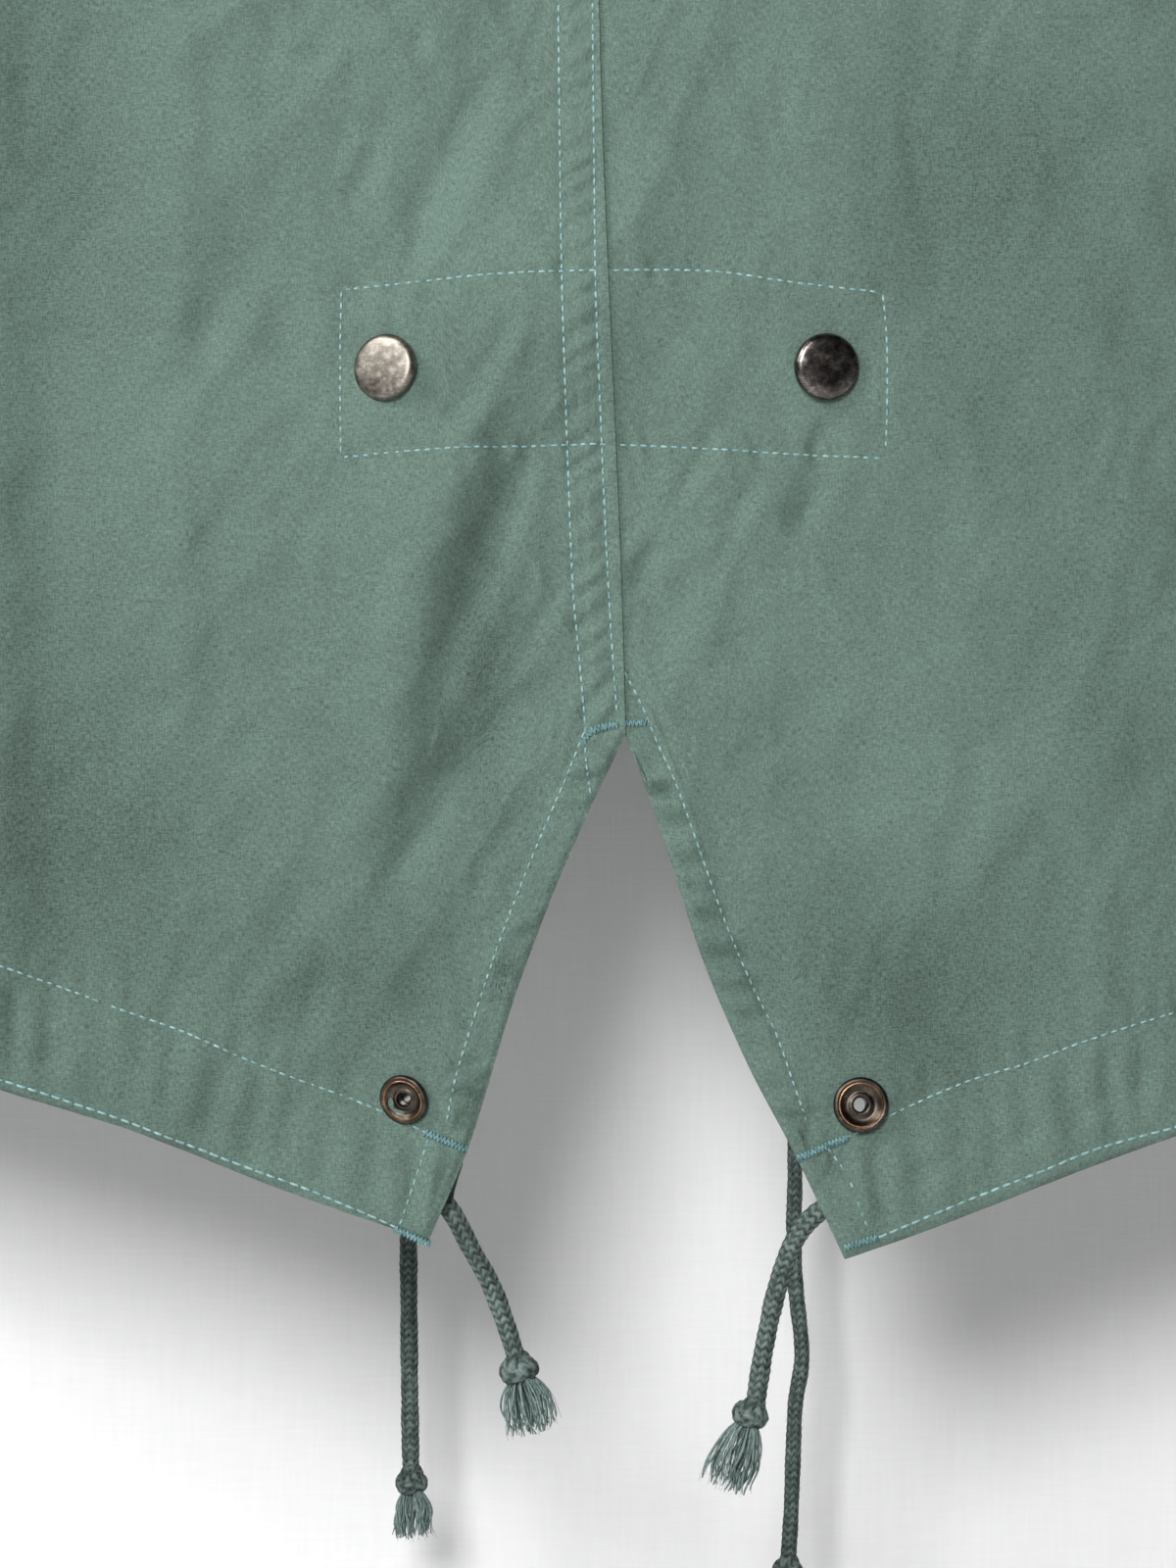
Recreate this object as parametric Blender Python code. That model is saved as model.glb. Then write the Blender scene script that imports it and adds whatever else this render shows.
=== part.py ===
"""Fishtail parka hanging on a plain coat hanger.

The back of the coat faces -Y and its front faces +Y, with +Z up.  The origin is the seat of
the hanger's hook, where the rail carries it, so all heights are negative.  Units are metres.

Every cloth panel is a grid of points on the body's surface, with a wall laid inside it.
Pieces that are sewn onto a panel are made from that panel's own grid, moved out or in.
"""
import math
from collections import namedtuple

import bmesh
import bpy
import numpy as np
from mathutils import Vector

# ---------------------------------------------------------------- cloth
WALL = 0.0015            # panels, sleeves and hood
THIN_WALL = 0.0010       # strips that are sewn onto a panel
SEAM_GAP = 0.0003        # between two pieces at a seam
MAX_MITRE = 2.0          # how far a wall's edge may stretch to stay flush with its seam

# ---------------------------------------------------------------- body
Section = namedtuple("Section", "height half_width back_depth front_depth")
BODY = (
    Section(-0.400, 0.272, 0.062, 0.060),
    Section(-0.550, 0.268, 0.061, 0.061),
    Section(-0.700, 0.270, 0.057, 0.060),
    Section(-0.850, 0.276, 0.053, 0.058),
    Section(-1.000, 0.284, 0.050, 0.055),
    Section(-1.135, 0.290, 0.050, 0.053),
)
SECTION_POWER = 3.0      # how square a cross-section is

NECK_HALF_WIDTH = 0.085
NECK_HEIGHT = -0.110     # where the shoulder seam meets the neck
NECK_BACK = 0.055        # half depth of the neck opening, back and front
NECK_FRONT = 0.050
NECK_DIP_BACK = 0.014
NECK_DIP_FRONT = 0.070
SHOULDER_X = 0.235
SHOULDER_HEIGHT = -0.157
SHOULDER_ROLL = 0.140    # height over which the body widens below the shoulder seam
UNDERARM_X = 0.272
UNDERARM_HEIGHT = -0.400
ARMHOLE_HALF_DEPTH = 0.045
ARMHOLE_STEPS = 10

# ---------------------------------------------------------------- centre back seam and fishtail
Seam = namedtuple("Seam", "height x")
BACK_SEAM = (
    Seam(-1.135, 0.0030),
    Seam(-1.012, 0.0029),
    Seam(-0.850, -0.0030),
    Seam(-0.600, -0.0015),
    Seam(-0.110, 0.0),
)
Edge = namedtuple("Edge", "out height")
LEFT_EDGE = (
    Edge(-0.0029, -1.0120),      # top of the notch
    Edge(0.0055, -1.0296),
    Edge(0.0130, -1.0468),
    Edge(0.0220, -1.0710),
    Edge(0.0320, -1.1036),       # top of the hem tunnel's mouth
    Edge(0.0413, -1.1256),       # tip of the tail
    Edge(0.0602, -1.1193),
    Edge(0.0800, -1.1122),
    Edge(0.1020, -1.1035),
    Edge(0.1379, -1.0921),
    Edge(0.2000, -1.0735),
    Edge(0.2900, -1.0500),
)
RIGHT_EDGE = (
    Edge(0.0029, -1.0120),
    Edge(0.0104, -1.0319),
    Edge(0.0188, -1.0583),
    Edge(0.0298, -1.0848),
    Edge(0.0413, -1.1069),
    Edge(0.0523, -1.1300),
    Edge(0.0637, -1.1262),
    Edge(0.0800, -1.1202),
    Edge(0.1057, -1.1100),
    Edge(0.1268, -1.1024),
    Edge(0.2000, -1.0790),
    Edge(0.2900, -1.0520),
)
MOUTH_COLUMN = 4         # of the columns from the seam outwards
TIP_COLUMN = 5
PATCH_COLUMN = 6
SIDE_COLUMNS = 8         # from the neck's column to the side seam

HEM_LEFT = 0.0262        # height of the hem tunnel, straight up
HEM_RIGHT = 0.0285
HEM_FRONT = 0.0262
CORD_LEVEL = 0.42        # where the drawcord lies in the tunnel, as a share of its height
TUNNEL_BULGE = 0.0064    # how far the inner layer stands off around the drawcord
TUNNEL_GAP = 0.0005

PATCH_TOP = -0.909
PATCH_BOTTOM = -0.948
TAIL_STEPS = 4           # rows between the hem and the patch's lower edge
BACK_ROWS = (PATCH_BOTTOM, PATCH_TOP, -0.850, -0.785, -0.715, -0.640, -0.565, -0.485, UNDERARM_HEIGHT)
NECK_COLUMN_MARGIN = 0.02    # share kept free between the edge table's columns and the neck's

# ---------------------------------------------------------------- front
FRONT_HEM_CENTRE = -0.985
FRONT_HEM_SIDE = -1.050
FRONT_COLUMNS = (0.0, 0.125, 0.195, 0.275)
FRONT_STEPS = 8
FLY_COLUMN = 1
FRONT_MOUTH_COLUMN = 2
FLY_CAPS = 5
FLY_CAP_X = 0.018
FLY_CAP_TOP = -0.250
FLY_CAP_BOTTOM = -0.930

# ---------------------------------------------------------------- folds
Fold = namedtuple("Fold", "x_top z_top x_low z_low half_width height")
BACK_FOLDS = (
    Fold(-0.030, -0.952, -0.054, -1.056, 0.014, 0.0032),
    Fold(-0.019, -0.950, -0.036, -1.006, 0.010, -0.0030),
    Fold(-0.034, -1.018, -0.050, -1.048, 0.010, -0.0026),
    Fold(-0.022, -0.850, -0.044, -0.905, 0.010, -0.0018),
    Fold(-0.126, -0.780, -0.122, -1.060, 0.016, -0.0040),
    Fold(-0.090, -0.700, -0.086, -1.000, 0.026, 0.0030),
    Fold(0.078, -0.760, 0.070, -0.910, 0.018, -0.0034),
    Fold(0.038, -1.018, 0.084, -1.080, 0.016, -0.0030),
    Fold(0.101, -1.015, 0.078, -1.052, 0.012, 0.0022),
    Fold(-0.150, -0.420, -0.196, -1.050, 0.022, 0.0085),
    Fold(-0.205, -0.520, -0.234, -1.050, 0.018, -0.0075),
    Fold(-0.075, -0.300, -0.052, -0.800, 0.026, -0.0045),
    Fold(0.060, -0.280, 0.030, -0.760, 0.028, 0.0040),
    Fold(0.118, -0.340, 0.150, -0.960, 0.024, -0.0065),
    Fold(0.180, -0.480, 0.212, -1.060, 0.020, 0.0085),
    Fold(0.228, -0.560, 0.246, -1.050, 0.016, -0.0060),
)
FRONT_FOLDS = (
    Fold(-0.140, -0.300, -0.180, -1.020, 0.024, 0.0090),
    Fold(-0.090, -0.360, -0.110, -0.980, 0.020, -0.0065),
    Fold(-0.200, -0.480, -0.226, -1.020, 0.018, -0.0070),
    Fold(-0.165, -0.210, -0.110, -0.330, 0.016, 0.0050),
    Fold(0.096, -0.280, 0.108, -0.980, 0.020, -0.0060),
    Fold(0.140, -0.420, 0.164, -1.020, 0.022, 0.0095),
    Fold(0.195, -0.520, 0.222, -1.030, 0.018, -0.0070),
    Fold(0.170, -0.200, 0.120, -0.300, 0.016, 0.0045),
)
FOLD_SIDE_FADE = 0.12    # share of the half width over which folds die out at a side seam
FOLD_TOP_FADE = 0.060    # the same below a shoulder seam

# ---------------------------------------------------------------- sleeves
Ring = namedtuple("Ring", "outer_x outer_z inner_x inner_z half_depth")
SLEEVE = (
    Ring(SHOULDER_X, SHOULDER_HEIGHT, UNDERARM_X, UNDERARM_HEIGHT, ARMHOLE_HALF_DEPTH),
    Ring(0.2600, -0.1640, 0.2785, -0.4100, 0.0460),
    Ring(0.2900, -0.1870, 0.2840, -0.4240, 0.0460),
    Ring(0.3210, -0.2300, 0.2890, -0.4450, 0.0460),
    Ring(0.3490, -0.2900, 0.2930, -0.4750, 0.0450),
    Ring(0.3720, -0.3600, 0.2970, -0.5150, 0.0440),
    Ring(0.3900, -0.4400, 0.3000, -0.5600, 0.0420),
    Ring(0.4020, -0.5250, 0.3030, -0.6100, 0.0400),
    Ring(0.4100, -0.6100, 0.3060, -0.6650, 0.0360),
    Ring(0.4150, -0.6900, 0.3080, -0.7200, 0.0320),
    Ring(0.4175, -0.7450, 0.3090, -0.7570, 0.0300),
)
Wrinkle = namedtuple("Wrinkle", "ring angle reach_rings reach_angle height")
SLEEVE_WRINKLES = (
    Wrinkle(3.2, 200.0, 0.9, 40.0, -0.0045),
    Wrinkle(5.0, 150.0, 0.8, 45.0, -0.0050),
    Wrinkle(6.1, 215.0, 0.8, 42.0, -0.0050),
    Wrinkle(7.3, 160.0, 0.7, 48.0, -0.0045),
    Wrinkle(4.2, 20.0, 1.0, 34.0, 0.0030),
    Wrinkle(6.6, -35.0, 0.8, 40.0, -0.0035),
    Wrinkle(8.4, 40.0, 0.8, 44.0, -0.0030),
)

WRINKLE_START_RINGS = 2.0    # rings from the armhole over which the wrinkles set in

# ---------------------------------------------------------------- hood, fallen down the back
HoodRib = namedtuple("HoodRib", "angle rise roll drop spread come_back")
HOOD = (
    HoodRib(0.0, 0.014, 0.017, 0.290, 0.026, 0.232),
    HoodRib(14.0, 0.014, 0.017, 0.288, 0.027, 0.228),
    HoodRib(28.0, 0.015, 0.018, 0.276, 0.027, 0.214),
    HoodRib(42.0, 0.018, 0.019, 0.236, 0.026, 0.176),
    HoodRib(54.0, 0.022, 0.020, 0.168, 0.024, 0.118),
    HoodRib(64.0, 0.026, 0.021, 0.098, 0.020, 0.062),
    HoodRib(74.0, 0.030, 0.024, 0.048, 0.017, 0.026),
    HoodRib(86.0, 0.032, 0.024, 0.029, 0.015, 0.014),
    HoodRib(104.0, 0.033, 0.023, 0.027, 0.014, 0.013),
    HoodRib(130.5, 0.034, 0.021, 0.028, 0.013, 0.012),
    HoodRib(147.4, 0.035, 0.019, 0.031, 0.013, 0.012),
    HoodRib(159.8, 0.036, 0.018, 0.034, 0.013, 0.012),
    HoodRib(180.0, 0.037, 0.018, 0.037, 0.013, 0.012),
)
HOOD_EXTRA_ANGLES = (35.0, 48.0, 59.0, 69.0, 80.0)   # more ribs round the pouch's sides
HOOD_RELAX = 3           # smoothing passes over the ribs of the pouch
HOOD_RELAX_END = 72.0
HOOD_LIFT = 0.0008       # of the hood's lower edge over the neck seam
HOOD_CLEARANCE = 0.005   # between the hood's lower layer and the back panels
HOOD_FAN = 0.52          # how much wider the pouch gets below the neck
HOOD_FAN_DEPTH = 0.110
HOOD_LIP = 0.005         # how far the hood leans out at the top of its neck
# reach = out + roll * the rib's roll + spread * its spread; lift likewise from its rise, drop
# and come_back; layer 0 is the neck, 1 lies on the back, 2 is the fold, 3 is the outer layer
RibStep = namedtuple("RibStep", "reach roll spread lift rise drop come_back layer")
RIB_STEPS = (
    RibStep(0.0, 0.0, 0.0, 0.0, 0.0, 0.0, 0.0, 0),
    RibStep(0.002, 0.0, 0.0, 0.0, 0.55, 0.0, 0.0, 0),
    RibStep(HOOD_LIP, 0.0, 0.0, 0.0, 1.0, 0.0, 0.0, 0),
    RibStep(HOOD_LIP, 0.4, 0.0, 0.006, 1.0, 0.0, 0.0, 0),
    RibStep(HOOD_LIP, 0.8, 0.0, -0.001, 1.0, 0.0, 0.0, 0),
    RibStep(HOOD_LIP, 1.0, 0.0, 0.0, 1.0, 0.36, 0.0, 1),
    RibStep(HOOD_LIP, 1.0, 0.0, 0.0, 1.0, 0.68, 0.0, 1),
    RibStep(HOOD_LIP, 1.0, 0.08, 0.0, 1.0, 0.94, 0.0, 1),
    RibStep(HOOD_LIP, 1.0, 0.5, -0.004, 1.0, 1.0, 0.0, 2),
    RibStep(HOOD_LIP, 1.0, 0.92, 0.0, 1.0, 0.95, 0.08, 3),
    RibStep(HOOD_LIP, 1.0, 1.0, 0.0, 1.0, 0.95, 0.52, 3),
    RibStep(HOOD_LIP, 1.0, 0.96, 0.0, 1.0, 0.95, 1.0, 3),
)
WIDEST_BACKED_SHARE = 0.95   # of the body's half width, up to which the pouch follows the back

# ---------------------------------------------------------------- snaps
CAP_RADIUS = 0.0075
CAP_HEIGHT = 0.0030
SOCKET_RADIUS = 0.0062
EYELET_RADIUS = 0.0062
STUD_RADIUS = 0.0042
SNAP_SEGMENTS = 16
SNAP_REST = 0.0006       # gap under a snap's flat base, over a softly bent panel
SOCKET_REST = 0.0009
Place = namedtuple("Place", "side x height radius")
PATCH_SNAPS = (
    Place("left", -0.0506, -0.9297, CAP_RADIUS),
    Place("right", 0.0478, -0.9293, CAP_RADIUS),
)
TAIL_SNAPS = (
    Place("left", -0.0465, -1.0936, 0.0057),
    Place("right", 0.0558, -1.0952, EYELET_RADIUS),
)

# ---------------------------------------------------------------- drawcords
Cord = namedtuple("Cord", "name diameter lean knot_width knot_height tassel_length tassel_spread route")
CORDS = (
    Cord("back_cord_left", 0.0044, (0.24, 0.0, -1.0), 0.0088, 0.0062, 0.0135, 1.35, (
        (-0.0440, -0.0457, -1.1141), (-0.0409, -0.0457, -1.1153), (-0.0380, -0.0457, -1.1176),
        (-0.0353, -0.0458, -1.1214), (-0.0320, -0.0460, -1.1278), (-0.0276, -0.0461, -1.1358),
        (-0.0243, -0.0463, -1.1444), (-0.0221, -0.0464, -1.1512))),
    Cord("back_cord_right", 0.0044, (-0.36, 0.0, -1.0), 0.0080, 0.0068, 0.0165, 1.15, (
        (0.0540, -0.0457, -1.1166), (0.0508, -0.0457, -1.1175), (0.0476, -0.0457, -1.1190),
        (0.0440, -0.0457, -1.1222), (0.0403, -0.0456, -1.1278), (0.0377, -0.0456, -1.1355),
        (0.0360, -0.0456, -1.1421), (0.0342, -0.0458, -1.1510), (0.0331, -0.0460, -1.1576),
        (0.0326, -0.0461, -1.1612))),
    Cord("front_cord_left", 0.0044, (0.06, 0.0, -1.0), 0.0078, 0.0070, 0.0125, 1.10, (
        (-0.0640, 0.0510, -0.9771), (-0.0600, 0.0510, -0.9767), (-0.0562, 0.0510, -0.9770),
        (-0.0524, 0.0507, -0.9803), (-0.0505, 0.0503, -0.9870), (-0.0502, 0.0494, -1.0300),
        (-0.0502, 0.0488, -1.0800), (-0.0500, 0.0486, -1.1300), (-0.0497, 0.0486, -1.1700),
        (-0.0494, 0.0486, -1.1912))),
    Cord("front_cord_right", 0.0038, (-0.05, 0.0, -1.0), 0.0074, 0.0068, 0.0150, 1.10, (
        (0.0640, 0.0508, -0.9771), (0.0600, 0.0509, -0.9767), (0.0556, 0.0509, -0.9769),
        (0.0500, 0.0506, -0.9795), (0.0466, 0.0502, -0.9865), (0.0458, 0.0494, -1.0300),
        (0.0458, 0.0488, -1.1127), (0.0455, 0.0486, -1.1314), (0.0459, 0.0486, -1.1470),
        (0.0473, 0.0486, -1.1606), (0.0473, 0.0486, -1.1674), (0.0459, 0.0486, -1.1760),
        (0.0454, 0.0486, -1.1861), (0.0448, 0.0486, -1.2031), (0.0442, 0.0486, -1.2132))),
)
CORD_STEP = 2.8          # diameters between a cord's points
TASSEL_CUTS = 3          # a knot's underside carries a 4 by 4 field of strands
KNOT_DEPTH_SHARE = 0.44  # half depth of a knot, as a share of its width
KNOT_BOXINESS = 0.45     # of its underside, where the strands start
BOX_SHRINK = 1.35        # a box's corners drawn in to the ball's size
STRAND_INSET = 0.00016
STRAND_TAPER = 0.92
STRAND_SWAY = 0.00022
STRAND_SPLAY = 0.30
FRAY = 0.16              # how much the strands' lengths differ

# ---------------------------------------------------------------- hanger
HANGER_TIP_X = 0.214
HANGER_DROP = 0.0026     # below the shoulder seam's line, so that the bar clears the cloth
HANGER_PEAK = -0.100
HANGER_HALF_WIDTH = 0.0058
HANGER_DEPTH = 0.022
HANGER_STEPS = 18
HANGER_SLIM = 0.35       # how much narrower the bar's ends are
HANGER_SHALLOW = 0.30    # how much shallower they are
BarCorner = namedtuple("BarCorner", "across down")
BAR_SECTION = (
    BarCorner(0.0, 0.0),
    BarCorner(0.55, 0.05),
    BarCorner(1.0, 0.20),
    BarCorner(1.0, 0.80),
    BarCorner(0.55, 0.97),
    BarCorner(0.0, 1.0),
    BarCorner(-0.55, 0.97),
    BarCorner(-1.0, 0.80),
    BarCorner(-1.0, 0.20),
    BarCorner(-0.55, 0.05),
)
HOOK_RADIUS = 0.020      # inside the hook
HOOK_WIRE = 0.0032
HOOK_STEP = 0.0075       # between the points of the hook's wire
HOOK_NECK = (            # from the bar up to the start of the bow
    (0.0, 0.0, HANGER_PEAK + SEAM_GAP),
    (0.0, 0.0, -0.082),
    (0.0005, 0.0, -0.066),
    (0.0065, 0.0, -0.051),
    (0.0155, 0.0, -0.040),
)
HOOK_START = -25         # degrees round the bow, from +X
HOOK_END = 195
HOOK_TURN = 20

# ---------------------------------------------------------------- colours, roughness, metal
CLOTH = ((0.147, 0.238, 0.198), 0.90, 0.0)
CORD_CLOTH = ((0.098, 0.130, 0.112), 0.95, 0.0)
PEWTER = ((0.30, 0.285, 0.265), 0.38, 1.0)
BRONZE = ((0.085, 0.070, 0.058), 0.42, 1.0)
WOOD = ((0.42, 0.27, 0.15), 0.50, 0.0)
STEEL = ((0.62, 0.62, 0.62), 0.25, 1.0)


# ================================================================ helpers
def smooth(value):
    """Ease from 0 to 1."""
    t = np.clip(value, 0.0, 1.0)
    return t * t * (3.0 - 2.0 * t)


def along(rows, key, column, at):
    """A table's column as a smooth curve over its key column, held past both ends."""
    keys = np.array([getattr(row, key) for row in rows])
    values = np.array([getattr(row, column) for row in rows])
    order = np.argsort(keys)
    keys = keys[order]
    values = values[order]
    slopes = np.gradient(values, keys)
    at = np.clip(at, keys[0], keys[-1])
    index = int(np.clip(np.searchsorted(keys, at) - 1, 0, len(keys) - 2))
    span = keys[index + 1] - keys[index]
    t = (at - keys[index]) / span
    start = (1 + 2 * t) * (1 - t) ** 2 * values[index] + t * (1 - t) ** 2 * span * slopes[index]
    end = t * t * (3 - 2 * t) * values[index + 1] + t * t * (t - 1) * span * slopes[index + 1]
    return float(start + end)


def smooth_route(points, step):
    """Points at an even spacing on a smooth curve through a route's own points."""
    keys = [Vector(point) for point in points]
    keys = [keys[0] * 2 - keys[1]] + keys + [keys[-1] * 2 - keys[-2]]
    fine = []
    samples = 16
    for a, b, c, d in zip(keys, keys[1:], keys[2:], keys[3:]):
        for i in range(samples):
            t = i / samples
            fine.append(0.5 * (2 * b + (c - a) * t + (2 * a - 5 * b + 4 * c - d) * t ** 2
                               + (3 * b - a - 3 * c + d) * t ** 3))
    fine.append(keys[-2])
    lengths = [0.0]
    for a, b in zip(fine, fine[1:]):
        lengths.append(lengths[-1] + (b - a).length)
    count = max(3, round(lengths[-1] / step))
    spaced = []
    j = 0
    for i in range(count + 1):
        target = lengths[-1] * i / count
        while j < len(lengths) - 2 and lengths[j + 1] < target:
            j += 1
        t = (target - lengths[j]) / (lengths[j + 1] - lengths[j])
        spaced.append(fine[j].lerp(fine[j + 1], t))
    return spaced


def material(name, look):
    colour, roughness, metallic = look
    made = bpy.data.materials.new(name)
    made.use_nodes = True
    shader = made.node_tree.nodes["Principled BSDF"]
    shader.inputs["Base Color"].default_value = (*colour, 1.0)
    shader.inputs["Roughness"].default_value = roughness
    shader.inputs["Metallic"].default_value = metallic
    return made


def add_object(name, mesh, look, round_piece=True):
    """Link a mesh as one named object with a material of its own."""
    made = bpy.data.objects.new(name, mesh)
    bpy.context.scene.collection.objects.link(made)
    mesh.materials.append(material(name, look))
    if round_piece:
        mesh.shade_smooth()
        mesh.set_sharp_from_angle(angle=math.radians(40))
    return made


def mesh_object(name, points, faces, look, round_piece=True):
    """One closed solid, with its faces turned outwards."""
    form = bmesh.new()
    corners = [form.verts.new(point) for point in points]
    for face in faces:
        form.faces.new([corners[i] for i in face])
    bmesh.ops.recalc_face_normals(form, faces=form.faces)
    mesh = bpy.data.meshes.new(name)
    form.to_mesh(mesh)
    form.free()
    return add_object(name, mesh, look, round_piece)


def wall(name, outer, inner, look, closed=False, mirrored=0):
    """Solid between two grids of points; closed grids join their last column to the first.

    The first mirrored columns of cells are split along their other diagonal, as the cells of a
    panel whose columns run the other way are.
    """
    rows, columns = outer.shape[:2]
    points = [tuple(p) for p in outer.reshape(-1, 3)] + [tuple(p) for p in inner.reshape(-1, 3)]
    size = rows * columns

    def at(row, column, layer):
        return layer * size + row * columns + column % columns

    faces = []
    steps = columns if closed else columns - 1
    for row in range(rows - 1):
        for column in range(steps):
            for layer in (0, 1):
                a = at(row, column, layer)
                b = at(row, column + 1, layer)
                c = at(row + 1, column + 1, layer)
                d = at(row + 1, column, layer)
                if column < mirrored:
                    faces.append((a, b, d))
                    faces.append((b, c, d))
                else:
                    faces.append((a, b, c))
                    faces.append((a, c, d))
    for column in range(steps):
        for row in (0, rows - 1):
            faces.append((at(row, column, 0), at(row, column + 1, 0),
                          at(row, column + 1, 1), at(row, column, 1)))
    if not closed:
        for row in range(rows - 1):
            for column in (0, columns - 1):
                faces.append((at(row, column, 0), at(row + 1, column, 0),
                              at(row + 1, column, 1), at(row, column, 1)))
    return mesh_object(name, points, faces, look)


def unit(vectors):
    return vectors / np.maximum(np.linalg.norm(vectors, axis=-1, keepdims=True), 1e-12)


def grid_normals(grid, outwards, closed=False):
    """Unit normals of a grid of points, all turned to the side that outwards points to."""
    if closed:
        ahead = np.roll(grid, -1, axis=1) - np.roll(grid, 1, axis=1)
    else:
        ahead = np.gradient(grid, axis=1)
    up = np.gradient(grid, axis=0)
    normals = unit(np.cross(ahead, up))
    middle = normals[grid.shape[0] // 2, grid.shape[1] // 2]
    if np.dot(middle, outwards) < 0:
        normals = -normals
    return normals


def flush(normals, keep_off):
    """Wall directions at a seam: a normal without its part along keep_off, kept one wall thick."""
    flat = unit(normals - np.dot(normals, keep_off)[..., None] * keep_off)
    stretch = 1.0 / np.maximum((flat * normals).sum(axis=-1, keepdims=True), 1.0 / MAX_MITRE)
    return flat * stretch


# ================================================================ the body's surface
def shoulder_line(share, dip):
    """Height of a panel's top edge at a share of its half width, neck opening included."""
    neck_share = NECK_HALF_WIDTH / SHOULDER_X
    if share <= neck_share:
        return NECK_HEIGHT - dip * (1.0 - (share / neck_share) ** 2)
    t = (share - neck_share) / (1.0 - neck_share)
    return NECK_HEIGHT + (SHOULDER_HEIGHT - NECK_HEIGHT) * t


def folds_at(folds, x, height):
    total = 0.0
    for fold in folds:
        line_x = fold.x_low - fold.x_top
        line_z = fold.z_low - fold.z_top
        t = ((x - fold.x_top) * line_x + (height - fold.z_top) * line_z) / (line_x ** 2 + line_z ** 2)
        t = min(max(t, 0.0), 1.0)
        away = math.hypot(x - fold.x_top - t * line_x, height - fold.z_top - t * line_z)
        total += fold.height * math.exp(-(away / fold.half_width) ** 2)
    return total


def body_depth(share, height, arm, top, front):
    """How far the cloth lies from the plane through the side seams.

    share is 0 at the centre and 1 at the side, arm runs from 0 at the underarm to 1 at the
    shoulder, and top is the height of the panel's upper edge above this point.
    """
    full = along(BODY, "height", "front_depth" if front else "back_depth", height)
    section = (1.0 - share ** SECTION_POWER) ** (1.0 / SECTION_POWER)
    below = min(max((top - height) / SHOULDER_ROLL, 0.0), 1.0)
    opened = math.sqrt(1.0 - (1.0 - below) ** 2)
    neck_share = NECK_HALF_WIDTH / SHOULDER_X
    neck = (NECK_FRONT if front else NECK_BACK) * math.sqrt(max(0.0, 1.0 - (share / neck_share) ** 2))
    armhole = 2.0 * ARMHOLE_HALF_DEPTH * math.sqrt(arm * (1.0 - arm))
    return neck * (1.0 - opened) + full * opened * section + armhole * (1.0 - section)


def body_point(side, share, height, arm, top, front):
    """Point of the coat's outside; side is -1 on the left of the view from the back."""
    if arm > 0.0:
        half = UNDERARM_X + (SHOULDER_X - UNDERARM_X) * arm
    else:
        half = along(BODY, "height", "half_width", height)
    seam = 0.0 if front else along(BACK_SEAM, "height", "x", height)
    x = seam * (1.0 - share) + side * (half * share + SEAM_GAP / 2 * (1.0 - share))
    depth = body_depth(share, height, arm, top, front)
    fade = smooth((1.0 - share) / FOLD_SIDE_FADE) * smooth((top - height) / FOLD_TOP_FADE)
    depth += folds_at(FRONT_FOLDS if front else BACK_FOLDS, x, height) * float(fade)
    depth = max(depth, SEAM_GAP / 2)
    return (x, depth if front else -depth, height)


def armhole_normal(side):
    """Direction across the plane of an armhole, away from the body."""
    run = UNDERARM_X - SHOULDER_X
    rise = SHOULDER_HEIGHT - UNDERARM_HEIGHT
    return unit(np.array([side * rise, 0.0, run]))


Panel = namedtuple("Panel", "outer inner normals")


def panel_grid(side, shares, bottoms, rows_below, front):
    """Outer and inner points of one body panel, from its hem up to the shoulder.

    rows_below gives, for the height of a column's hem, that column's heights up to the underarm.
    """
    dip = NECK_DIP_FRONT if front else NECK_DIP_BACK
    columns = []
    for share, bottom in zip(shares, bottoms):
        top = shoulder_line(share, dip)
        column = [body_point(side, share, height, 0.0, top, front) for height in rows_below(bottom)]
        for step in range(1, ARMHOLE_STEPS + 1):
            arm = (1.0 - math.cos(math.pi * step / ARMHOLE_STEPS)) / 2
            height = UNDERARM_HEIGHT + (top - UNDERARM_HEIGHT) * arm
            column.append(body_point(side, share, height, arm, top, front))
        columns.append(column)
    outer = np.array(columns).transpose(1, 0, 2)
    normals = grid_normals(outer, np.array([0.0, 1.0 if front else -1.0, 0.0]))
    underarm = outer.shape[0] - 1 - ARMHOLE_STEPS
    across = np.array([1.0, 0.0, 0.0])
    through = np.array([0.0, 1.0, 0.0])
    neck_column = shares.index(NECK_HALF_WIDTH / SHOULDER_X)
    normals[:, 0] = flush(normals[:, 0], across)
    normals[:underarm, -1] = flush(normals[:underarm, -1], through)
    normals[-1, neck_column:-1] = flush(normals[-1, neck_column:-1], through)
    normals[underarm + 1:-1, -1] = flush(normals[underarm + 1:-1, -1], armhole_normal(side))
    normals[underarm, -1] = np.array([side * 0.7, 0.0, -0.7])
    down_armhole = np.cross(armhole_normal(side), through)
    normals[-1, -1] = down_armhole * math.copysign(1.0, down_armhole[2])
    return Panel(outer, outer - WALL * normals, normals)


def back_rows(bottom, hem):
    """Heights of a back column: the hem tunnel, the tail, and the rows up to the underarm."""
    rows = [bottom, bottom + CORD_LEVEL * hem]
    start = bottom + hem
    for step in range(TAIL_STEPS):
        rows.append(start + (BACK_ROWS[0] - start) * step / TAIL_STEPS)
    return rows + list(BACK_ROWS)


def front_rows(bottom):
    rows = [bottom, bottom + CORD_LEVEL * HEM_FRONT]
    start = bottom + HEM_FRONT
    for step in range(FRONT_STEPS + 1):
        rows.append(start + (UNDERARM_HEIGHT - start) * step / FRONT_STEPS)
    return rows


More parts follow.
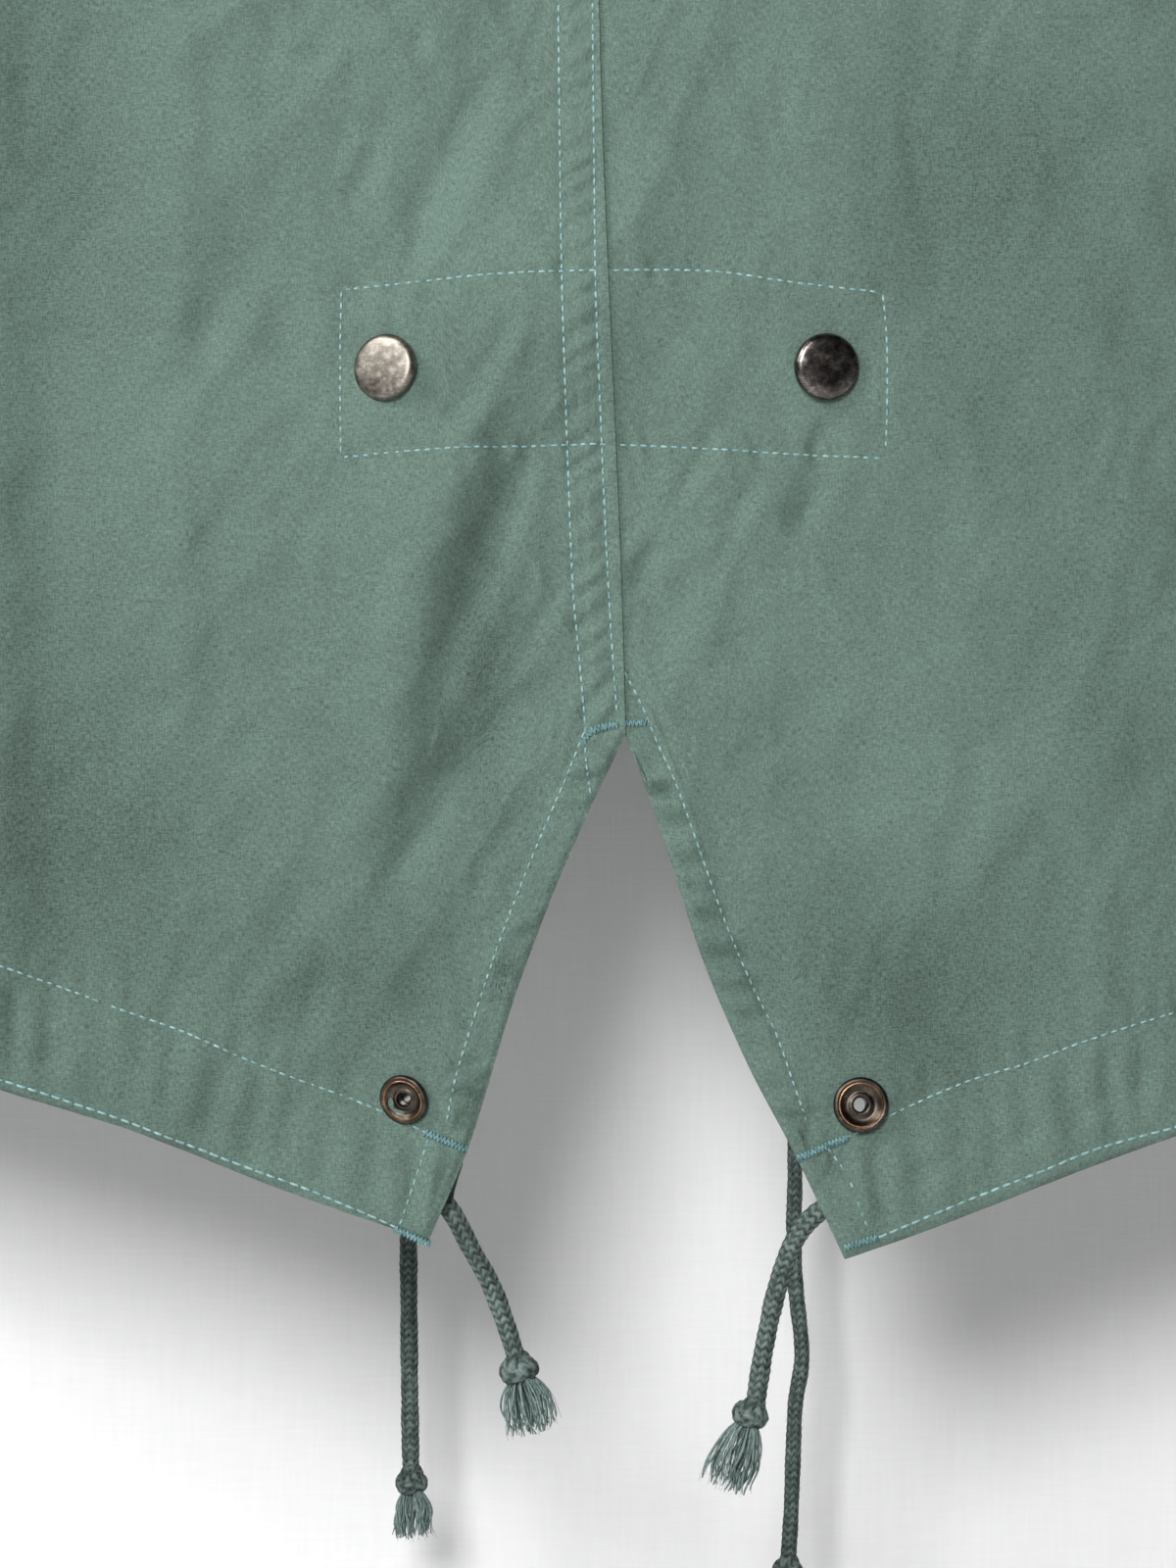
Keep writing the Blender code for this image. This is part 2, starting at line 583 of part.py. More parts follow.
def side_shares():
    """Shares of the half width from the neck's column to the side, closer together at the side."""
    neck_share = NECK_HALF_WIDTH / SHOULDER_X
    shares = [neck_share]
    for step in range(1, SIDE_COLUMNS + 1):
        shares.append(neck_share + (1.0 - neck_share) * math.sin(math.pi / 2 * step / SIDE_COLUMNS))
    return shares


def back_panel(side, edge, hem):
    shares = []
    bottoms = []
    neck_share = NECK_HALF_WIDTH / SHOULDER_X
    for point in edge:
        seam = along(BACK_SEAM, "height", "x", point.height)
        half = along(BODY, "height", "half_width", point.height)
        share = (point.out - side * seam) / (half - side * seam)
        if share > neck_share - NECK_COLUMN_MARGIN:
            break
        shares.append(max(share, 0.0))
        bottoms.append(point.height)
    for share in side_shares():
        shares.append(share)
        half = along(BODY, "height", "half_width", edge[-1].height)
        bottoms.append(along(edge[TIP_COLUMN:], "out", "height", share * half))
    return panel_grid(side, shares, bottoms, lambda bottom: back_rows(bottom, hem), front=False)


def front_panel(side):
    shares = list(FRONT_COLUMNS) + side_shares()
    drop = FRONT_HEM_SIDE - FRONT_HEM_CENTRE
    bottoms = [FRONT_HEM_CENTRE + drop * share ** 2 for share in shares]
    return panel_grid(side, shares, bottoms, front_rows, front=True)


# ================================================================ pieces sewn onto a panel
def laid_on(name, points, normals, mirrored=0):
    """A strip over a grid of a panel's points, moved along the given normals."""
    base = points + normals * SEAM_GAP
    return wall(name, base + normals * THIN_WALL, base, CLOTH, mirrored=mirrored)


def hem_tunnel(name, panel, first, mouth):
    """Inner layer of a hem, standing off along its middle where the drawcord runs.

    mouth, if given, is the first column's points from the bottom up.
    """
    points = panel.inner[:3, first:].copy()
    normals = -panel.normals[:3, first:].copy()
    if mouth is not None:
        points[:, 0] = mouth
        normals[:, 0] = normals[0, 0]
    offset = np.zeros(points.shape[:2] + (1,))
    offset[1] = TUNNEL_BULGE
    base = points + normals * (TUNNEL_GAP + offset)
    return wall(name, base, base + normals * THIN_WALL, CLOTH)


def snap_patch(left, right):
    """Patch inside the back that backs both snaps, across the centre seam."""
    low = 2 + TAIL_STEPS
    rows = slice(low, low + 2)
    left_part = slice(PATCH_COLUMN, None, -1)
    right_part = slice(1, PATCH_COLUMN + 1)
    points = np.concatenate([left.inner[rows, left_part], right.inner[rows, right_part]], axis=1)
    normals = np.concatenate([left.normals[rows, left_part], right.normals[rows, right_part]], axis=1)
    return laid_on("snap_patch", points, -normals, mirrored=PATCH_COLUMN)


def front_fly(left, right):
    """Flap over the centre front, on the outside of both panels."""
    left_part = slice(FLY_COLUMN, None, -1)
    right_part = slice(1, FLY_COLUMN + 1)
    points = np.concatenate([left.outer[:, left_part], right.outer[:, right_part]], axis=1)
    normals = np.concatenate([left.normals[:, left_part], right.normals[:, right_part]], axis=1)
    return laid_on("front_fly", points, normals, mirrored=FLY_COLUMN)


# ================================================================ sleeves
def sleeve(side):
    name = "sleeve_left" if side < 0 else "sleeve_right"
    around = 2 * ARMHOLE_STEPS
    grid = np.zeros((len(SLEEVE), around, 3))
    for row, ring in enumerate(SLEEVE):
        outer = np.array([ring.outer_x, 0.0, ring.outer_z])
        inner = np.array([ring.inner_x, 0.0, ring.inner_z])
        for column in range(around):
            angle = 2.0 * math.pi * column / around
            swell = 0.0
            for wrinkle in SLEEVE_WRINKLES:
                turn = (-side * math.degrees(angle) - wrinkle.angle + 180.0) % 360.0 - 180.0
                near = ((row - wrinkle.ring) / wrinkle.reach_rings) ** 2 + (turn / wrinkle.reach_angle) ** 2
                swell += wrinkle.height * math.exp(-near)
            swell *= min(row / WRINKLE_START_RINGS, 1.0)
            across = (outer - inner) / 2.0
            long = 1.0 + swell / np.linalg.norm(across)
            deep = ring.half_depth + swell
            point = (outer + inner) / 2.0 + across * math.cos(angle) * long
            point[1] = deep * math.sin(angle)
            grid[row, column] = point * np.array([side, 1.0, 1.0])
    normals = grid_normals(grid, np.array([0.0, -1.0, 0.0]), closed=True)
    away = grid - grid.mean(axis=1, keepdims=True)
    if (normals * away).sum() < 0:
        normals = -normals
    armhole = armhole_normal(side)
    normals[0] = flush(normals[0], armhole)
    grid[0] += armhole * SEAM_GAP
    inner_grid = grid - WALL * normals
    return wall(name, grid, inner_grid, CLOTH, closed=True)


# ================================================================ hood
def hood_rib(side, angle):
    """Points of one rib of the hood, from the neck seam over the roll and round the pouch."""
    rise, roll, drop, spread, come_back = (
        along(HOOD, "angle", column, angle) for column in ("rise", "roll", "drop", "spread", "come_back"))
    turn = math.radians(angle)
    back = math.cos(turn) > 0.0
    depth = NECK_BACK if back else NECK_FRONT
    dip = NECK_DIP_BACK if back else NECK_DIP_FRONT
    x = NECK_HALF_WIDTH * math.sin(turn)
    y = -depth * math.cos(turn)
    z = NECK_HEIGHT - dip * math.cos(turn) ** 2 + HOOD_LIFT
    out = unit(np.array([x / NECK_HALF_WIDTH ** 2, y / depth ** 2]))
    clear = (0.0, HOOD_CLEARANCE, HOOD_CLEARANCE + spread * 0.5, HOOD_CLEARANCE + spread)
    points = []
    for step in RIB_STEPS:
        layer = step.layer
        reach = step.reach + step.roll * roll + step.spread * spread
        lift = step.lift + step.rise * rise - step.drop * drop + step.come_back * come_back
        point_x = x + out[0] * reach
        point_y = y + out[1] * reach
        point_z = z + lift
        if back and layer:
            fan = HOOD_FAN * float(smooth((z + rise - point_z) / HOOD_FAN_DEPTH))
            point_x *= 1.0 + fan
            share = min(point_x / UNDERARM_X, WIDEST_BACKED_SHARE)
            top = shoulder_line(share, NECK_DIP_BACK)
            if point_z < top:
                arm = min(max((point_z - UNDERARM_HEIGHT) / (top - UNDERARM_HEIGHT), 0.0), 1.0)
                half = UNDERARM_X + (SHOULDER_X - UNDERARM_X) * arm
                share = min(point_x / half, WIDEST_BACKED_SHARE)
                surface = body_point(side, share, point_z, arm, top, front=False)
                point_y = min(point_y, surface[1] - clear[layer])
        points.append((side * max(point_x, SEAM_GAP / 2), point_y, point_z))
    return points


def hood_half(side):
    name = "hood_left" if side < 0 else "hood_right"
    angles = sorted([rib.angle for rib in HOOD] + list(HOOD_EXTRA_ANGLES))
    grid = np.array([hood_rib(side, angle) for angle in angles]).transpose(1, 0, 2)
    last = sum(angle < HOOD_RELAX_END for angle in angles)
    for _ in range(HOOD_RELAX):
        beside = (grid[3:, :last - 1] + grid[3:, 2:last + 1]) / 2
        grid[3:, 1:last] = (grid[3:, 1:last] + beside) / 2
    normals = grid_normals(grid, np.array([0.0, -1.0, 0.0]))
    first = normals[0, 0]
    if first[1] > 0:
        normals = -normals
    for column in (0, -1):
        normals[:, column] = flush(normals[:, column], np.array([1.0, 0.0, 0.0]))
    normals[0] = flush(normals[0], np.array([0.0, 0.0, 1.0]))
    return wall(name, grid, grid - WALL * normals, CLOTH)


# ================================================================ snaps
def turned(name, profile, seat, direction, look, ring=False):
    """Round piece from a profile of (radius, height) rows, standing on a seat point.

    A ring's profile is a closed loop; any other starts and ends on the axis.
    """
    axis = Vector(direction).normalized()
    turn = axis.to_track_quat("Z", "Y").to_matrix()
    points = []
    loops = []
    for radius, height in profile:
        if radius == 0.0:
            loops.append([len(points)])
            points.append(seat + turn @ Vector((0.0, 0.0, height)))
            continue
        loop = []
        for step in range(SNAP_SEGMENTS):
            angle = 2.0 * math.pi * step / SNAP_SEGMENTS
            loop.append(len(points))
            points.append(seat + turn @ Vector((radius * math.cos(angle), radius * math.sin(angle), height)))
        loops.append(loop)
    pairs = list(zip(loops, loops[1:]))
    if ring:
        pairs.append((loops[-1], loops[0]))
    faces = []
    for low, high in pairs:
        for step in range(SNAP_SEGMENTS):
            after = (step + 1) % SNAP_SEGMENTS
            if len(low) == 1:
                faces.append((low[0], high[step], high[after]))
            elif len(high) == 1:
                faces.append((low[step], low[after], high[0]))
            else:
                faces.append((low[step], low[after], high[after], high[step]))
    return mesh_object(name, points, faces, look)


def seat_on(grid, normals, x, height, gap):
    """Seat point and direction on a panel's grid, at the cell that holds x and height."""
    rows, columns = grid.shape[:2]
    best = None
    for row in range(rows - 1):
        for column in range(columns - 1):
            for corners in (((row, column), (row, column + 1), (row + 1, column + 1)),
                            ((row, column), (row + 1, column + 1), (row + 1, column))):
                a, b, c = (grid[corner] for corner in corners)
                frame = np.array([[b[0] - a[0], c[0] - a[0]], [b[2] - a[2], c[2] - a[2]]])
                if abs(np.linalg.det(frame)) < 1e-12:
                    continue
                s, t = np.linalg.solve(frame, np.array([x - a[0], height - a[2]]))
                miss = max(-s, -t, s + t - 1.0)
                if best is None or miss < best[0]:
                    best = (miss, a + s * (b - a) + t * (c - a), unit(sum(normals[k] for k in corners)))
    return Vector(best[1] + best[2] * gap), Vector(best[2])


def cap_profile(radius):
    return [(0.0, 0.0), (radius * 0.93, 0.0), (radius, CAP_HEIGHT * 0.22), (radius * 0.97, CAP_HEIGHT * 0.5),
            (radius * 0.78, CAP_HEIGHT * 0.84), (radius * 0.42, CAP_HEIGHT * 0.98), (0.0, CAP_HEIGHT)]


def eyelet_profile(radius):
    return [(radius * 0.22, 0.0), (radius * 0.96, 0.0), (radius, 0.0007), (radius * 0.90, 0.0015),
            (radius * 0.66, 0.0012), (radius * 0.46, 0.0008), (radius * 0.22, 0.0009)]


def socket_profile(radius):
    return [(radius * 0.30, 0.0), (radius, 0.0), (radius, 0.0014), (radius * 0.72, 0.0026),
            (radius * 0.42, 0.0026), (radius * 0.30, 0.0012)]


def stud_profile(radius):
    return [(radius * 0.28, 0.0), (radius, 0.0), (radius, 0.0006), (radius * 0.62, 0.0009),
            (radius * 0.58, 0.0032), (radius * 0.28, 0.0036)]


def snaps(panels):
    for place in PATCH_SNAPS:
        panel = panels[place.side]
        seat, out = seat_on(panel.outer, panel.normals, place.x, place.height, SNAP_REST)
        turned("patch_cap_" + place.side, cap_profile(place.radius), seat, out, PEWTER)
        behind = WALL + SEAM_GAP + THIN_WALL
        seat, out = seat_on(panel.outer, panel.normals, place.x, place.height, -behind - SOCKET_REST)
        turned("patch_socket_" + place.side, socket_profile(SOCKET_RADIUS), seat, -out, BRONZE, ring=True)
    for place in TAIL_SNAPS:
        panel = panels[place.side]
        seat, out = seat_on(panel.outer, panel.normals, place.x, place.height, SNAP_REST)
        turned("tail_eyelet_" + place.side, eyelet_profile(place.radius), seat, out, BRONZE, ring=True)
        seat, out = seat_on(panel.outer, panel.normals, place.x, place.height, -WALL - SNAP_REST)
        turned("tail_stud_" + place.side, stud_profile(STUD_RADIUS), seat, -out, BRONZE, ring=True)


def fly_caps(panel):
    """Snap caps down the fly, just to one side of the centre front."""
    for number in range(FLY_CAPS):
        height = FLY_CAP_TOP + (FLY_CAP_BOTTOM - FLY_CAP_TOP) * number / (FLY_CAPS - 1)
        over = SEAM_GAP + THIN_WALL + SNAP_REST
        seat, out = seat_on(panel.outer, panel.normals, FLY_CAP_X, height, over)
        turned(f"fly_cap_{number + 1}", cap_profile(CAP_RADIUS), seat, out, PEWTER)


# ================================================================ drawcords
def tube(name, route, step, diameter, look):
    """Round tube along a route, with closed ends."""
    points = smooth_route(route, step)
    curve = bpy.data.curves.new(name, "CURVE")
    curve.dimensions = "3D"
    curve.bevel_depth = diameter / 2
    curve.bevel_resolution = 2
    curve.use_fill_caps = True
    spline = curve.splines.new("POLY")
    spline.points.add(len(points) - 1)
    for place, point in zip(spline.points, points):
        place.co = (*point, 1.0)
    made = bpy.data.objects.new(name, curve)
    bpy.context.scene.collection.objects.link(made)
    curve.materials.append(material(name, look))


def cord(row):
    tube(row.name, row.route, CORD_STEP * row.diameter, row.diameter, CORD_CLOTH)


def tassel(row):
    """Knot at a cord's end, with the frayed strands growing out of its underside."""
    axis = Vector(row.lean).normalized()
    turn = (-axis).to_track_quat("Z", "Y").to_matrix()
    end = Vector(row.route[-1])
    tangent = (end - Vector(row.route[-2])).normalized()
    centre = end + tangent * (SEAM_GAP * 2) + axis * row.knot_height / 2
    half = Vector((row.knot_width / 2, row.knot_width * KNOT_DEPTH_SHARE, row.knot_height / 2))
    form = bmesh.new()
    bmesh.ops.create_cube(form, size=2.0)
    bmesh.ops.subdivide_edges(form, edges=form.edges, cuts=TASSEL_CUTS, use_grid_fill=True)
    under = [face for face in form.faces if face.calc_center_median().z < -0.999]
    for corner in form.verts:
        ball = corner.co.normalized()
        flat = corner.co / BOX_SHRINK
        place = ball.lerp(flat, KNOT_BOXINESS if corner.co.z < -0.999 else 0.0)
        corner.co = Vector((place.x * half.x, place.y * half.y, place.z * half.z))
    bmesh.ops.inset_individual(form, faces=under, thickness=STRAND_INSET, depth=0.0)
    for stage in (0.5, 1.0):
        under = bmesh.ops.extrude_discrete_faces(form, faces=under)["faces"]
        for number, face in enumerate(under):
            middle = face.calc_center_median()
            frayed = 1.0 - FRAY + FRAY * math.sin(2.4 * number + row.tassel_length * 900.0)
            out = Vector((middle.x / half.x, middle.y / half.y, 0.0))
            splay = row.knot_width * STRAND_SPLAY * (row.tassel_spread - 0.75 * (1.0 - stage))
            sway = Vector((math.sin(5.1 * number), math.cos(3.7 * number), 0.0)) * STRAND_SWAY * stage
            move = out * splay * 0.5 + sway + Vector((0.0, 0.0, -row.tassel_length * frayed * 0.5))
            for corner in face.verts:
                corner.co = middle + (corner.co - middle) * STRAND_TAPER + move
    for corner in form.verts:
        corner.co = centre + turn @ corner.co
    bmesh.ops.recalc_face_normals(form, faces=form.faces)
    mesh = bpy.data.meshes.new(row.name)
    form.to_mesh(mesh)
    form.free()
    return add_object(row.name.replace("cord", "tassel"), mesh, CORD_CLOTH)


# ================================================================ hanger
def hanger_line(x):
    """Height of the bar's top: it follows the shoulder seams and rises to the hook."""
    share = abs(x) / SHOULDER_X
    seam = shoulder_line(max(share, NECK_HALF_WIDTH / SHOULDER_X), 0.0) - HANGER_DROP
    inside = float(smooth(1.0 - abs(x) / NECK_HALF_WIDTH))
    return seam + (HANGER_PEAK - seam) * inside


def hanger_bar():
    """Bar with a rounded top, lofted from tip to tip."""
    count = len(BAR_SECTION)
    points = []
    for step in range(HANGER_STEPS + 1):
        x = HANGER_TIP_X * (2.0 * step / HANGER_STEPS - 1.0)
        top = hanger_line(x)
        end = abs(x) / HANGER_TIP_X
        half_width = HANGER_HALF_WIDTH * (1.0 - HANGER_SLIM * end ** 6)
        depth = HANGER_DEPTH * (1.0 - HANGER_SHALLOW * end ** 4)
        for corner in BAR_SECTION:
            points.append((x, corner.across * half_width, top - corner.down * depth))
    faces = [tuple(range(count)), tuple(range(HANGER_STEPS * count, (HANGER_STEPS + 1) * count))]
    for step in range(HANGER_STEPS):
        for k in range(count):
            a = step * count + k
            b = step * count + (k + 1) % count
            faces.append((a, b, b + count, a + count))
    return mesh_object("hanger_bar", points, faces, WOOD)


def hanger_hook():
    """Wire hook whose inside top is the origin."""
    radius = HOOK_RADIUS + HOOK_WIRE / 2
    centre = -HOOK_RADIUS
    route = list(HOOK_NECK)
    for degrees in range(HOOK_START, HOOK_END + 1, HOOK_TURN):
        angle = math.radians(degrees)
        route.append((radius * math.cos(angle), 0.0, centre + radius * math.sin(angle)))
    tube("hanger_hook", route, HOOK_STEP, HOOK_WIRE, STEEL)


# ================================================================ the coat
def main():
    for old in list(bpy.data.objects):
        bpy.data.objects.remove(old, do_unlink=True)

    backs = {
        "left": back_panel(-1, LEFT_EDGE, HEM_LEFT),
        "right": back_panel(1, RIGHT_EDGE, HEM_RIGHT),
    }
    fronts = {"left": front_panel(-1), "right": front_panel(1)}
    for side in ("left", "right"):
        back = backs[side]
        front = fronts[side]
        wall("back_" + side, back.outer, back.inner, CLOTH)
        wall("front_" + side, front.outer, front.inner, CLOTH)
        mouth_low = back.inner[0, TIP_COLUMN]
        mouth_high = back.inner[0, MOUTH_COLUMN]
        mouth = np.array([mouth_low, mouth_low + (mouth_high - mouth_low) * CORD_LEVEL, mouth_high])
        hem_tunnel("back_tunnel_" + side, back, TIP_COLUMN, mouth)
        hem_tunnel("front_tunnel_" + side, front, FRONT_MOUTH_COLUMN, None)

    left = backs["left"]
    laid_on("back_seam_lap", left.outer[:, :2], left.normals[:, :2])
    snap_patch(backs["left"], backs["right"])
    front_fly(fronts["left"], fronts["right"])
    snaps(backs)
    fly_caps(fronts["right"])
    for side in (-1, 1):
        sleeve(side)
        hood_half(side)
    for row in CORDS:
        cord(row)
        tassel(row)
    hanger_bar()
    hanger_hook()


main()
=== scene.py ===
"""Fishtail parka on its hanger, seen close up at the split hem of its back.

Metres, in the frame of the model: the back faces -Y, +X is the photo's right, +Z is up, and the
origin is the seat of the hanger's hook.  Places on the back are given in millimetres right of and
above the top of the fishtail's notch.
"""
import math
from collections import namedtuple

import bmesh
import bpy
import numpy as np
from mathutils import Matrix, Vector


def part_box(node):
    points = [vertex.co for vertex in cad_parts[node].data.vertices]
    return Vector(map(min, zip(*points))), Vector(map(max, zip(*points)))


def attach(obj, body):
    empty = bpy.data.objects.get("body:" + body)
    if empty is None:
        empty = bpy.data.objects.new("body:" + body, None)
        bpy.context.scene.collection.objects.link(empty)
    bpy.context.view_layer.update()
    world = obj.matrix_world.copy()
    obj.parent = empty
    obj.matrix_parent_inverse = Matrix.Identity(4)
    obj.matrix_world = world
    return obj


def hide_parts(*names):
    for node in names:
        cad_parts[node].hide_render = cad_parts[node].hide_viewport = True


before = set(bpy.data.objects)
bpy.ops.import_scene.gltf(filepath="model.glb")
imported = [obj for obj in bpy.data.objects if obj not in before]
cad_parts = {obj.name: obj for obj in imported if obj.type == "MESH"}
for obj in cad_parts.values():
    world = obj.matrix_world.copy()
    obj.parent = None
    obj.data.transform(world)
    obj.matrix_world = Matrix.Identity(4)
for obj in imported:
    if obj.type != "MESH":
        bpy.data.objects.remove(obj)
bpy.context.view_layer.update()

MM = 0.001
APEX_X = 0.00265
APEX_Z = -1.012
SIDE = {-1: "left", 1: "right"}
BACKWARDS = np.array([0.0, -1.0, 0.0])
FORWARDS = np.array([0.0, 1.0, 0.0])


def table(kind, *rows):
    """Rows of a table, with a name for each of its columns."""
    return tuple(map(kind._make, rows))


# ---------------------------------------------------------------- body, as the solids have it
Section = namedtuple("Section", "height half_width back_depth front_depth")
BODY = table(Section,
    (-0.400, 0.272, 0.062, 0.060), (-0.550, 0.268, 0.061, 0.061), (-0.700, 0.270, 0.057, 0.060),
    (-0.850, 0.276, 0.053, 0.058), (-1.000, 0.284, 0.050, 0.055), (-1.135, 0.290, 0.050, 0.053),
)
SECTION_POWER = 3.0
NECK_HALF_WIDTH = 0.085
NECK_HEIGHT = -0.110
NECK_BACK = 0.055
NECK_FRONT = 0.050
NECK_DIP_BACK = 0.014
NECK_DIP_FRONT = 0.070
SHOULDER_X = 0.235
SHOULDER_HEIGHT = -0.157
SHOULDER_ROLL = 0.140
UNDERARM_X = 0.272
UNDERARM_HEIGHT = -0.400
ARMHOLE_HALF_DEPTH = 0.045
NECK_SHARE = NECK_HALF_WIDTH / SHOULDER_X
ARMHOLE_EASE = 0.13      # share of the armhole's height over which it opens
LEAST_DEPTH = 0.00015
FOLD_SIDE_FADE = 0.12
FOLD_TOP_FADE = 0.060

Seam = namedtuple("Seam", "height x")
BACK_SEAM = table(Seam,
    (-1.135, 0.0030), (-1.012, 0.0029), (-0.850, -0.0030), (-0.600, -0.0015), (-0.110, 0.0),
)
Edge = namedtuple("Edge", "out height")
LEFT_EDGE = table(Edge,
    (-0.0029, -1.0120), (0.0055, -1.0296), (0.0130, -1.0468), (0.0220, -1.0710), (0.0320, -1.1036),
    (0.0413, -1.1256), (0.0602, -1.1193), (0.0800, -1.1122), (0.1020, -1.1035), (0.1379, -1.0921),
    (0.2000, -1.0735), (0.2900, -1.0500),
)
RIGHT_EDGE = table(Edge,
    (0.0029, -1.0120), (0.0104, -1.0319), (0.0188, -1.0583), (0.0298, -1.0848), (0.0413, -1.1069),
    (0.0523, -1.1300), (0.0637, -1.1262), (0.0800, -1.1202), (0.1057, -1.1100), (0.1268, -1.1024),
    (0.2000, -1.0790), (0.2900, -1.0520),
)
EDGES = {-1: LEFT_EDGE, 1: RIGHT_EDGE}
MOUTH = 4                # row of the edge tables at the top of the hem tunnel's mouth
TIP = 5                  # row at the tip of the tail
FRONT_HEM_CENTRE = -0.985
FRONT_HEM_SIDE = -1.050
FLY_SHARE = 0.125
FRONT_MOUTH_SHARE = 0.195
HEM_HEIGHT = {-1: 0.0262, 1: 0.0285}
FRONT_HEM_HEIGHT = 0.0262
TUNNEL_BULGE = 0.0064
MOUTH_PEEK = {-1: 0.0014, 1: 0.0002}     # of a tunnel's inner layer beyond the tail's edge
CORD_LEVEL = 0.42

# ---------------------------------------------------------------- cloth
CLOTH = 0.0008           # thickness of one layer
STRIP_LIFT = 0.0003      # between a strip and the panel under it
SOLID_WALL = 0.0015      # thickness that the solids give to a panel
LAP_WIDTH = 8.4          # mm, of the felled centre seam
LAP_RISE = 0.85          # mm, of its folded edge over the right panel
NOTCH_STRIP = {-1: 8.4, 1: 8.0}      # mm, turned in along each side of the notch

Fold = namedtuple("Fold", "x_top z_top x_low z_low half_width height")
BACK_FOLDS = table(Fold,
    (-0.030, -0.952, -0.054, -1.056, 0.014, 0.0032),
    (-0.019, -0.950, -0.036, -1.006, 0.010, -0.0030),
    (-0.034, -1.018, -0.050, -1.048, 0.010, -0.0026),
    (-0.022, -0.850, -0.044, -0.905, 0.010, -0.0018),
    (-0.126, -0.780, -0.122, -1.060, 0.016, -0.0040),
    (-0.090, -0.700, -0.086, -1.000, 0.026, 0.0030),
    (0.078, -0.760, 0.070, -0.910, 0.018, -0.0034),
    (0.038, -1.018, 0.084, -1.080, 0.016, -0.0030),
    (0.101, -1.015, 0.078, -1.052, 0.012, 0.0022),
    (-0.150, -0.420, -0.196, -1.050, 0.022, 0.0085),
    (-0.205, -0.520, -0.234, -1.050, 0.018, -0.0075),
    (-0.075, -0.300, -0.052, -0.800, 0.026, -0.0045),
    (0.060, -0.280, 0.030, -0.760, 0.028, 0.0040),
    (0.118, -0.340, 0.150, -0.960, 0.024, -0.0065),
    (0.180, -0.480, 0.212, -1.060, 0.020, 0.0085),
    (0.228, -0.560, 0.246, -1.050, 0.016, -0.0060),
)
FRONT_FOLDS = table(Fold,
    (-0.140, -0.300, -0.180, -1.020, 0.024, 0.0090),
    (-0.090, -0.360, -0.110, -0.980, 0.020, -0.0065),
    (-0.200, -0.480, -0.226, -1.020, 0.018, -0.0070),
    (-0.165, -0.210, -0.110, -0.330, 0.016, 0.0050),
    (0.096, -0.280, 0.108, -0.980, 0.020, -0.0060),
    (0.140, -0.420, 0.164, -1.020, 0.022, 0.0095),
    (0.195, -0.520, 0.222, -1.030, 0.018, -0.0070),
    (0.170, -0.200, 0.120, -0.300, 0.016, 0.0045),
)

